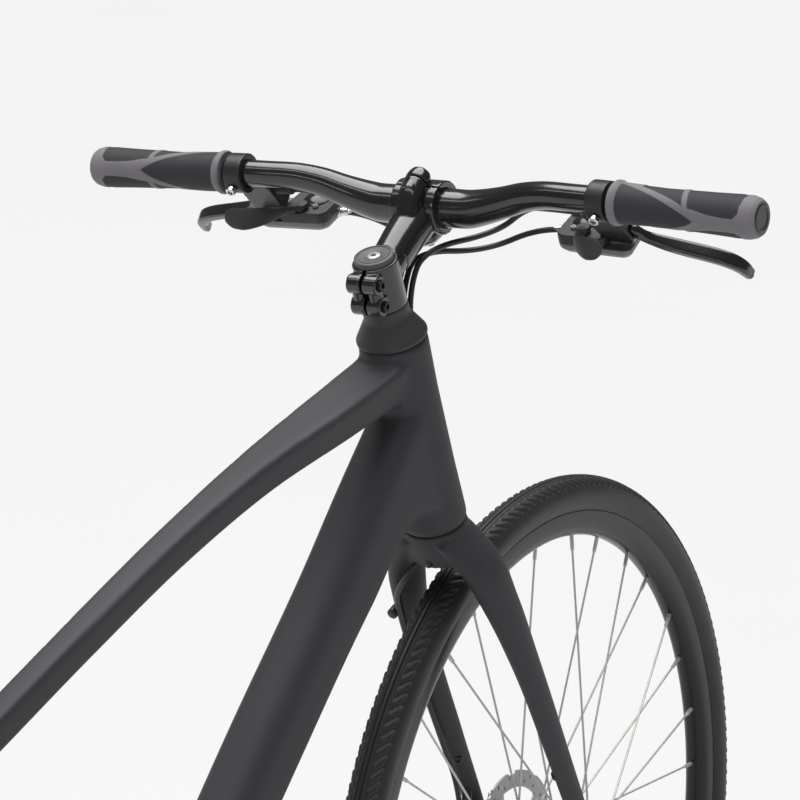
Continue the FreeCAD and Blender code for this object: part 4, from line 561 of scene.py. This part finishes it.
# Gear shifters: moulded pods under the bar, each with a pale grey lower shell, a dark domed window held by
# a bright screw, a silver cable adjuster and a broad black thumb paddle.
pod_up = np.array([-0.34, 0, 0.94]) / math.hypot(0.34, 0.94)
pod_on = np.array([0.94, 0, 0.34]) / math.hypot(0.34, 0.94)
shell_grey = surface(
    "shell_grey", (0.165, 0.158, 0.161), (0.185, 0.178, 0.181), 0.42, 20, 0.5, 0.015, shine=0.4)
window_black = surface("window_black", (0.012, 0.012, 0.013), (0.016, 0.016, 0.017), 0.18, 8, 0.5, 0.003)
silver = surface("silver", (0.62, 0.61, 0.60), (0.72, 0.71, 0.70), 0.26, 3, 0.4, 0.006, metal=1.0)
upper = [(0, 0), (-3, 0.3), (-9, 0.3)]
lower = [(-8.6, 0.4), (-13, 0), (-17, -3), (-18.6, -6)]
window = [(0.01, 4.6), (5, 4.2), (9, 3.0), (12, 0.6), (12.4, -1.5)]
adjuster = [(2.3, 13), (2.5, 9.6), (3.6, 9.2), (3.6, 2.6), (4.5, 2.2), (4.5, -3)]
uppers, shells, windows, bright_bits = [], [], [], []


def pod_frame(side):
    """The corner of a pod's top under the bar, and the way outward along the bar."""
    spot, out = bar_frame(side, CONTROLS)
    return spot - HIGH * 0.036 + FORWARD * 0.030, out


for side in (1, -1):
    seat, out = pod_frame(side)
    for rows, store, reach in ((upper, uppers, -15), (lower, shells, 7)):
        rims = []
        for level, grow in rows:
            far, near, front, rear = -60 - grow, reach + grow, 36 + grow, -3 - grow
            outline = rounded([(far, rear, 8), (near, rear, 6), (near - 4, front, 9), (far, front, 9)], 8)
            rims.append(ring(seat + pod_up * (level / 1000), out, pod_on, outline))
        store.append(skin(np.stack(rims)))
    windows.append(lathe(window, seat - out * 0.041 + pod_on * 0.021, pod_up, 56))
    bright_bits.append(screw(seat - out * 0.047 + pod_on * 0.008 + pod_up * 0.0005, pod_up, 2.6, 2.0))
    bright_bits.append(lathe(adjuster, seat - out * 0.060 + pod_on * 0.020 - pod_up * 0.010, -out, 40))
pods = piece("pod_bodies", [turned(part) for part in uppers], matt, "steering", "shifter_pods")
relaxed(pods, 0.8, 4)
relaxed(piece("pod_shells", [turned(part) for part in shells], shell_grey, "steering"), 0.8, 3)
piece("pod_windows", [turned(part) for part in windows], window_black, "steering")
piece("pod_metal", [turned(part) for part in bright_bits], silver, "steering")
# outward, ahead and up from the bar, half thickness, half height
THUMB = [
    (-36, 32.7, -31.5, 4.5, 2.6), (-30, 14, -33, 3.6, 4.2), (-20, -4, -35.2, 3.0, 8.0),
    (-6, -13, -36.0, 2.8, 9.2), (2.5, -14.7, -34.8, 2.5, 7.6), (6.5, -15.4, -34.2, 1.8, 4.2)]
for name, side in (("left", 1), ("right", -1)):
    spot, out = bar_frame(side, CONTROLS)
    spots = np.array([spot + (out * a + FORWARD * b + HIGH * c) / 1000 for a, b, c, half, tall in THUMB])
    way = np.gradient(spots, axis=0)
    square = np.cross(way, HIGH)
    square /= np.linalg.norm(square, axis=1, keepdims=True)
    rows = [circle(o, q, HIGH, half, tall, 48) for o, q, (a, b, c, half, tall) in zip(spots, square, THUMB)]
    root = pod_frame(side)[0] - out * 0.036 + pod_on * 0.004 + pod_up * 0.0003
    paddle = [turned(skin(smoothed(rows, 40))), turned(rod(root, root + pod_up * 0.0056, 6))]
    thumb = piece(name + "_thumb_paddle", paddle, matt, name + "_thumb_lever", name + "_thumb_lever")
    relaxed(thumb, 0.7, 5)

# Cables: black housings from the levers and shifters into the headset cone, and the front brake's
# down the fork leg. Each is one smooth line held at both ends.
housing = surface("housing", (0.012, 0.012, 0.013), (0.016, 0.016, 0.017), 0.4, 30, 0.6, 0.006)


def cables(name, routes, material, body, node):
    """Round housings on smooth curves; routes are points in metres."""
    lines = bpy.data.curves.new(name, "CURVE")
    lines.dimensions = "3D"
    lines.bevel_depth = 0.0024
    lines.bevel_resolution = 5
    lines.resolution_u = 10
    lines.use_fill_caps = True
    for route in routes:
        line = lines.splines.new("NURBS")
        line.points.add(len(route) - 1)
        line.points.foreach_set("co", np.concatenate([np.array(route), np.ones((len(route), 1))], 1).ravel())
        line.order_u = 3
        line.use_endpoint_u = True
    lines.materials.append(material)
    thing = bpy.data.objects.new(name, lines)
    bpy.context.scene.collection.objects.link(thing)
    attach(thing, body)
    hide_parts(node)
    return thing


port_way = AHEAD * 15 + UP * 40
port_way /= np.linalg.norm(port_way)
drop = math.radians(38)
routes = []
for side, lane, lift in ((1, 9.4, 0.0), (-1, -9.4, -6.0)):
    spot, out = bar_frame(side, CONTROLS)
    down = FORWARD * math.cos(drop) - HIGH * math.sin(drop)
    down -= out * down.dot(out)
    down /= np.linalg.norm(down)
    begin = spot + down * 0.025 - out * 0.038
    mouth = head(188, 17.9, lane)
    beside = BAR + np.array([26, side * 80, 0]) / 1000
    low_point = BAR + np.array([42 + lift, side * 46, -19 + lift]) / 1000
    way_in = mouth + port_way * 0.05 + FORWARD * 0.016 + LEFT * (side * 0.004)
    routes.append([begin, begin - out * 0.024, beside, low_point, way_in, mouth + port_way * 0.022, mouth])
for side, lane, lift in ((1, 3.1, 10.0), (-1, -3.1, 4.0)):
    seat, out = pod_frame(side)
    begin = seat - out * 0.061 + pod_on * 0.02 - pod_up * 0.01
    mouth = head(188, 17.9, lane)
    low_point = BAR + np.array([40 + lift, side * 30, -43]) / 1000
    way_in = mouth + port_way * 0.047 + FORWARD * 0.02
    routes.append([begin, begin - out * 0.025, low_point, way_in, mouth + port_way * 0.02, mouth])
lead = (UP * 0.97 + AHEAD * 0.25) / np.linalg.norm(UP * 0.97 + AHEAD * 0.25)
outward = (UP * 52 - AHEAD * 45) / np.linalg.norm(UP * 52 - AHEAD * 45)
AXLE = np.array([0.535, 0, 0.348])
stop = AXLE + outward * 0.084 + LEFT * 0.041 + lead * 0.024
leg = [
    head(-30, -16, 12), head(-38, -26, 20), head(-62, -24, 38), head(-84, -16.5, 44.5),
    head(-140, -6.8, 49.3)]
routes.append(leg + [head(-250, 11.2, 52), stop + lead * 0.026, stop])
routes = [CROWN + (np.array(route) - CROWN) @ STEER.T for route in routes]
cables("cockpit_cables", routes, housing, "steering", "control_cables")

# Tyres: black 35 mm tyres. Four long grooves run beside smooth centre ribs, slanted cuts part the shoulders
# into saw-toothed blocks, and the walls are smooth with one raised line above the rim.
rubber = surface("tyre_rubber", (0.026, 0.025, 0.027), (0.031, 0.030, 0.032), 0.48, 25, 0.7, 0.02, shine=0.35)
REAR = np.array([-0.535, 0, 0.348])
TYRE_RING, TYRE_SECTION, BLOCKS = 0.3302, 17.8, 198
GROOVE, SHOULDER = 1.2, 55


def wheel_place(part, front):
    """A part drawn about the wheel's own axis, x ahead, y up, z to the left, set on its axle."""
    points, faces = part
    points = points @ np.stack([FORWARD, HIGH, LEFT])
    return turned((points + AXLE, faces)) if front else (points + REAR, faces)


def tyre_part():
    """A torus of the tyre's section: w runs round the wheel and f round the section, 0 at the tread.

    Depth is the deepest of the cuts there: long grooves are narrow bells in f, side cuts are narrow bells in
    the block phase, which slants with f, and the blocks end on a saw-toothed line.
    """
    w = np.linspace(0, 2 * math.pi, 10 * BLOCKS, endpoint=False)[:, None]
    walls = np.linspace(58, 158, 7)
    f = np.radians(np.concatenate([-walls[::-1], np.linspace(-SHOULDER, SHOULDER, 33), walls]))[None, :]
    arc = np.degrees(np.abs(f))
    phase = (w * BLOCKS / (2 * math.pi) + 0.032 * (arc - 20) + 0.25 * np.sign(f)) % 1
    long_cut = np.exp(-((arc - 6.5) / 1.9) ** 4) + np.exp(-((arc - 19) / 2.1) ** 4)
    side_cut = np.exp(-((phase - 0.5) / 0.2) ** 4) * np.clip((arc - 19) / 2, 0, 1)
    edge = 46 + 7 * phase
    outside = np.clip((arc - edge) / 2.5, 0, 1)
    depth = np.clip(np.maximum(np.maximum(long_cut, side_cut), outside), 0, 1)
    depth = GROOVE * np.where(arc > SHOULDER, 1, depth) * np.interp(arc, [0, SHOULDER, 75], [1, 1, 0.7])
    bead = 0.5 * np.exp(-((arc - 124) / 9) ** 2)
    r = (TYRE_SECTION - depth + bead) / 1000
    flat = TYRE_RING + r * np.cos(f)
    points = np.stack([flat * np.cos(w), flat * np.sin(w), r * np.sin(f) + 0 * w], 2)
    return skin(points, caps=False, loop=True)


WHEELS = [(True, "front", "front_wheel"), (False, "rear", "rear_wheel")]
for front, name, body in WHEELS:
    tread = wheel_place(tyre_part(), front)
    piece(name + "_tyre_tread", [tread], rubber, body, name + "_tyre")

# Rims: welded alloy box rims, satin black on the walls, with a rounded inner face
# and a well that holds the tyre's beads.
rim_black = surface(
    "rim_black", (0.011, 0.010, 0.010), (0.014, 0.013, 0.013), 0.26, 50, 0.8, 0.005, shine=0.3)
wall = [(317, 11.5), (316, 11.5), (305, 11.5), (299.5, 9.6), (296.4, 7.0), (294.8, 3.6), (294.5, 0)]
well = [(317, -9.3), (310, -9.3), (307, -4), (307, 4), (310, 9.3), (317, 9.3), (317, 11.5)]
rim_profile = wall + [(r, -z) for r, z in wall[-2::-1]] + well
for front, name, body in WHEELS:
    part = wheel_place(lathe(rim_profile, np.zeros(3), np.array([0.0, 0, 1]), 240), front)
    piece(name + "_rim_hoop", [part], rim_black, body, name + "_rim")

# Spokes: 32 plain steel spokes a wheel, crossed three times,
# and screwed into nipples at the rim.
spoke_steel = surface("spoke_steel", (0.50, 0.48, 0.44), (0.60, 0.58, 0.54), 0.42, 8, 0.6, 0.004, metal=0.35)
HOLE_RING, RIM_SEAT, CROSSING, A_SIDE = 19.3, 300, 67.5, 16


def spoke_parts(left, right):
    """Spokes and nipples: rods of 8 sides from flange to rim, all at once."""
    k = np.arange(A_SIDE)
    starts, ends = [], []
    for flange, shift in ((left, 0.0), (-right, 0.5)):
        lead = np.where(k % 2 == 0, 1.0, -1.0)
        w = (k + shift) * (2 * math.pi / A_SIDE)
        far = w + lead * math.radians(CROSSING)
        offset = flange + lead * np.sign(flange) * 2.6
        starts.append(np.stack([HOLE_RING * np.cos(w), HOLE_RING * np.sin(w), offset], 1))
        inset = np.full(A_SIDE, 1.5 * np.sign(flange))
        ends.append(np.stack([RIM_SEAT * np.cos(far), RIM_SEAT * np.sin(far), inset], 1))
    a, b = np.concatenate(starts) / 1000, np.concatenate(ends) / 1000
    way = (b - a) / np.linalg.norm(b - a, axis=1, keepdims=True)
    side = np.cross(way, [0, 0, 1.0])
    side /= np.linalg.norm(side, axis=1, keepdims=True)
    over = np.cross(way, side)
    w = np.linspace(0, 2 * math.pi, 8, endpoint=False)
    round8 = np.cos(w)[None, :, None] * side[:, None] + np.sin(w)[None, :, None] * over[:, None]
    parts = []
    neck, collar = b - way * 0.020, b - way * 0.018
    for first, last, r0, r1 in ((a, b, 1.0, 1.0), (neck, collar, 1.0, 1.75), (collar, b, 1.75, 1.95)):
        for p, q, n in zip(first, last, round8):
            parts.append(skin(np.stack([p + n * r0 / 1000, q + n * r1 / 1000])))
    return parts


FLANGES = {"front": (22, 34), "rear": (33, 19)}
for front, name, body in WHEELS:
    parts = [wheel_place(part, front) for part in spoke_parts(*FLANGES[name])]
    piece(name + "_spoke_set", parts, spoke_steel, body, name + "_spokes")

# Hubs and brakes: black alloy hub shells on steel skewers with closing levers, bolted steel discs,
# and cable calipers with a swinging arm.
brushed = surface("brushed_steel", (0.5, 0.5, 0.5), (0.62, 0.62, 0.62), 0.32, 4, 0.5, 0.01, metal=1.0)
rotor_steel = surface("rotor_steel", (0.32, 0.32, 0.32), (0.40, 0.40, 0.40), 0.4, 4, 0.5, 0.01, metal=0.5)
black_alloy = surface(
    "black_alloy", (0.014, 0.014, 0.015), (0.02, 0.02, 0.021), 0.38, 30, 0.8, 0.01, metal=0.2)


def painted(node, material):
    """Gives a CAD node that is shown as it is one material."""
    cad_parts[node].data.materials.clear()
    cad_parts[node].data.materials.append(material)


for name, body in (("front", "steering"), ("rear", "frame")):
    eased(name + "_hub", 1.4, 2, black_alloy, name + "_wheel")
    eased(name + "_axle", 0.7, 2, brushed, body)
    eased(name + "_axle_lever", 0.7, 3, brushed, name + "_axle_lever")
    eased(name + "_brake_caliper", 0.9, 3, black_alloy, body)
    eased(name + "_brake_arm", 0.8, 2, black_alloy, name + "_brake_arm")
    painted(name + "_rotor", rotor_steel)

# Rear housings: black brake and gear lines along the chainstays,
# each held by a clip.
painted("rear_cables", housing)

# Seat: a clamped post with a yoke on two steel rails,
# a moulded base and a padded black cushion.
eased("seatpost", 1.8, 2, gloss, "seat")
eased("seat_clamp", 0.9, 3, black_alloy, "frame")
eased("saddle_rails", 0.9, 3, brushed, "seat")
eased("saddle_base", 1.8, 3, matt, "seat")
vinyl = surface("saddle_cover", (0.013, 0.013, 0.014), (0.02, 0.02, 0.021), 0.52, 60, 1.3, 0.08)
cushion = eased("saddle_cushion", 1.6, 10, vinyl, "seat")

# Drive: forged black cranks with toothed rings, a steel cassette and roller chain, two derailleurs
# with their cages and pulleys, and two moulded pedals.
eased("crank_arms", 1.7, 3, black_alloy, "cranks")
for name in ("left_pedal", "right_pedal"):
    eased(name, 1.6, 2, matt, name)
eased("rear_derailleur", 0.9, 4, black_alloy, "frame")
eased("front_derailleur", 0.9, 3, black_alloy, "frame")
chain_steel = surface("chain_steel", (0.16, 0.155, 0.15), (0.24, 0.235, 0.23), 0.38, 6, 0.6, 0.01, metal=1.0)
ring_black = surface("ring_black", (0.02, 0.02, 0.021), (0.03, 0.03, 0.031), 0.4, 20, 0.8, 0.01, metal=0.4)
BARE = [
    ("chain", chain_steel), ("cassette", brushed), ("chainrings", ring_black), ("guide_pulley", matt),
    ("tension_pulley", matt), ("rear_derailleur_cage", ring_black), ("front_derailleur_cage", ring_black),
    ("bottom_bracket", black_alloy), ("headset_bearings", black_alloy)]
for node, material in BARE:
    painted(node, material)

# Floor: a wide plain pale sheet that runs out of the picture on every side.
# It is staging and no piece of the bike.
floor_paint = surface("floor", (0.615, 0.615, 0.615), (0.625, 0.625, 0.625), 0.9, 900, 5, 0.01, shine=0.1)
ground = bpy.data.meshes.new("floor")
FLOOR_HALF, FLOOR_TOP = 40, -0.0005
corners = [(x * FLOOR_HALF, y * FLOOR_HALF, FLOOR_TOP) for x, y in ((-1, -1), (1, -1), (1, 1), (-1, 1))]
ground.from_pydata(corners, [], [(0, 1, 2, 3)])
ground.materials.append(floor_paint)
floor = bpy.data.objects.new("floor", ground)
bpy.context.scene.collection.objects.link(floor)
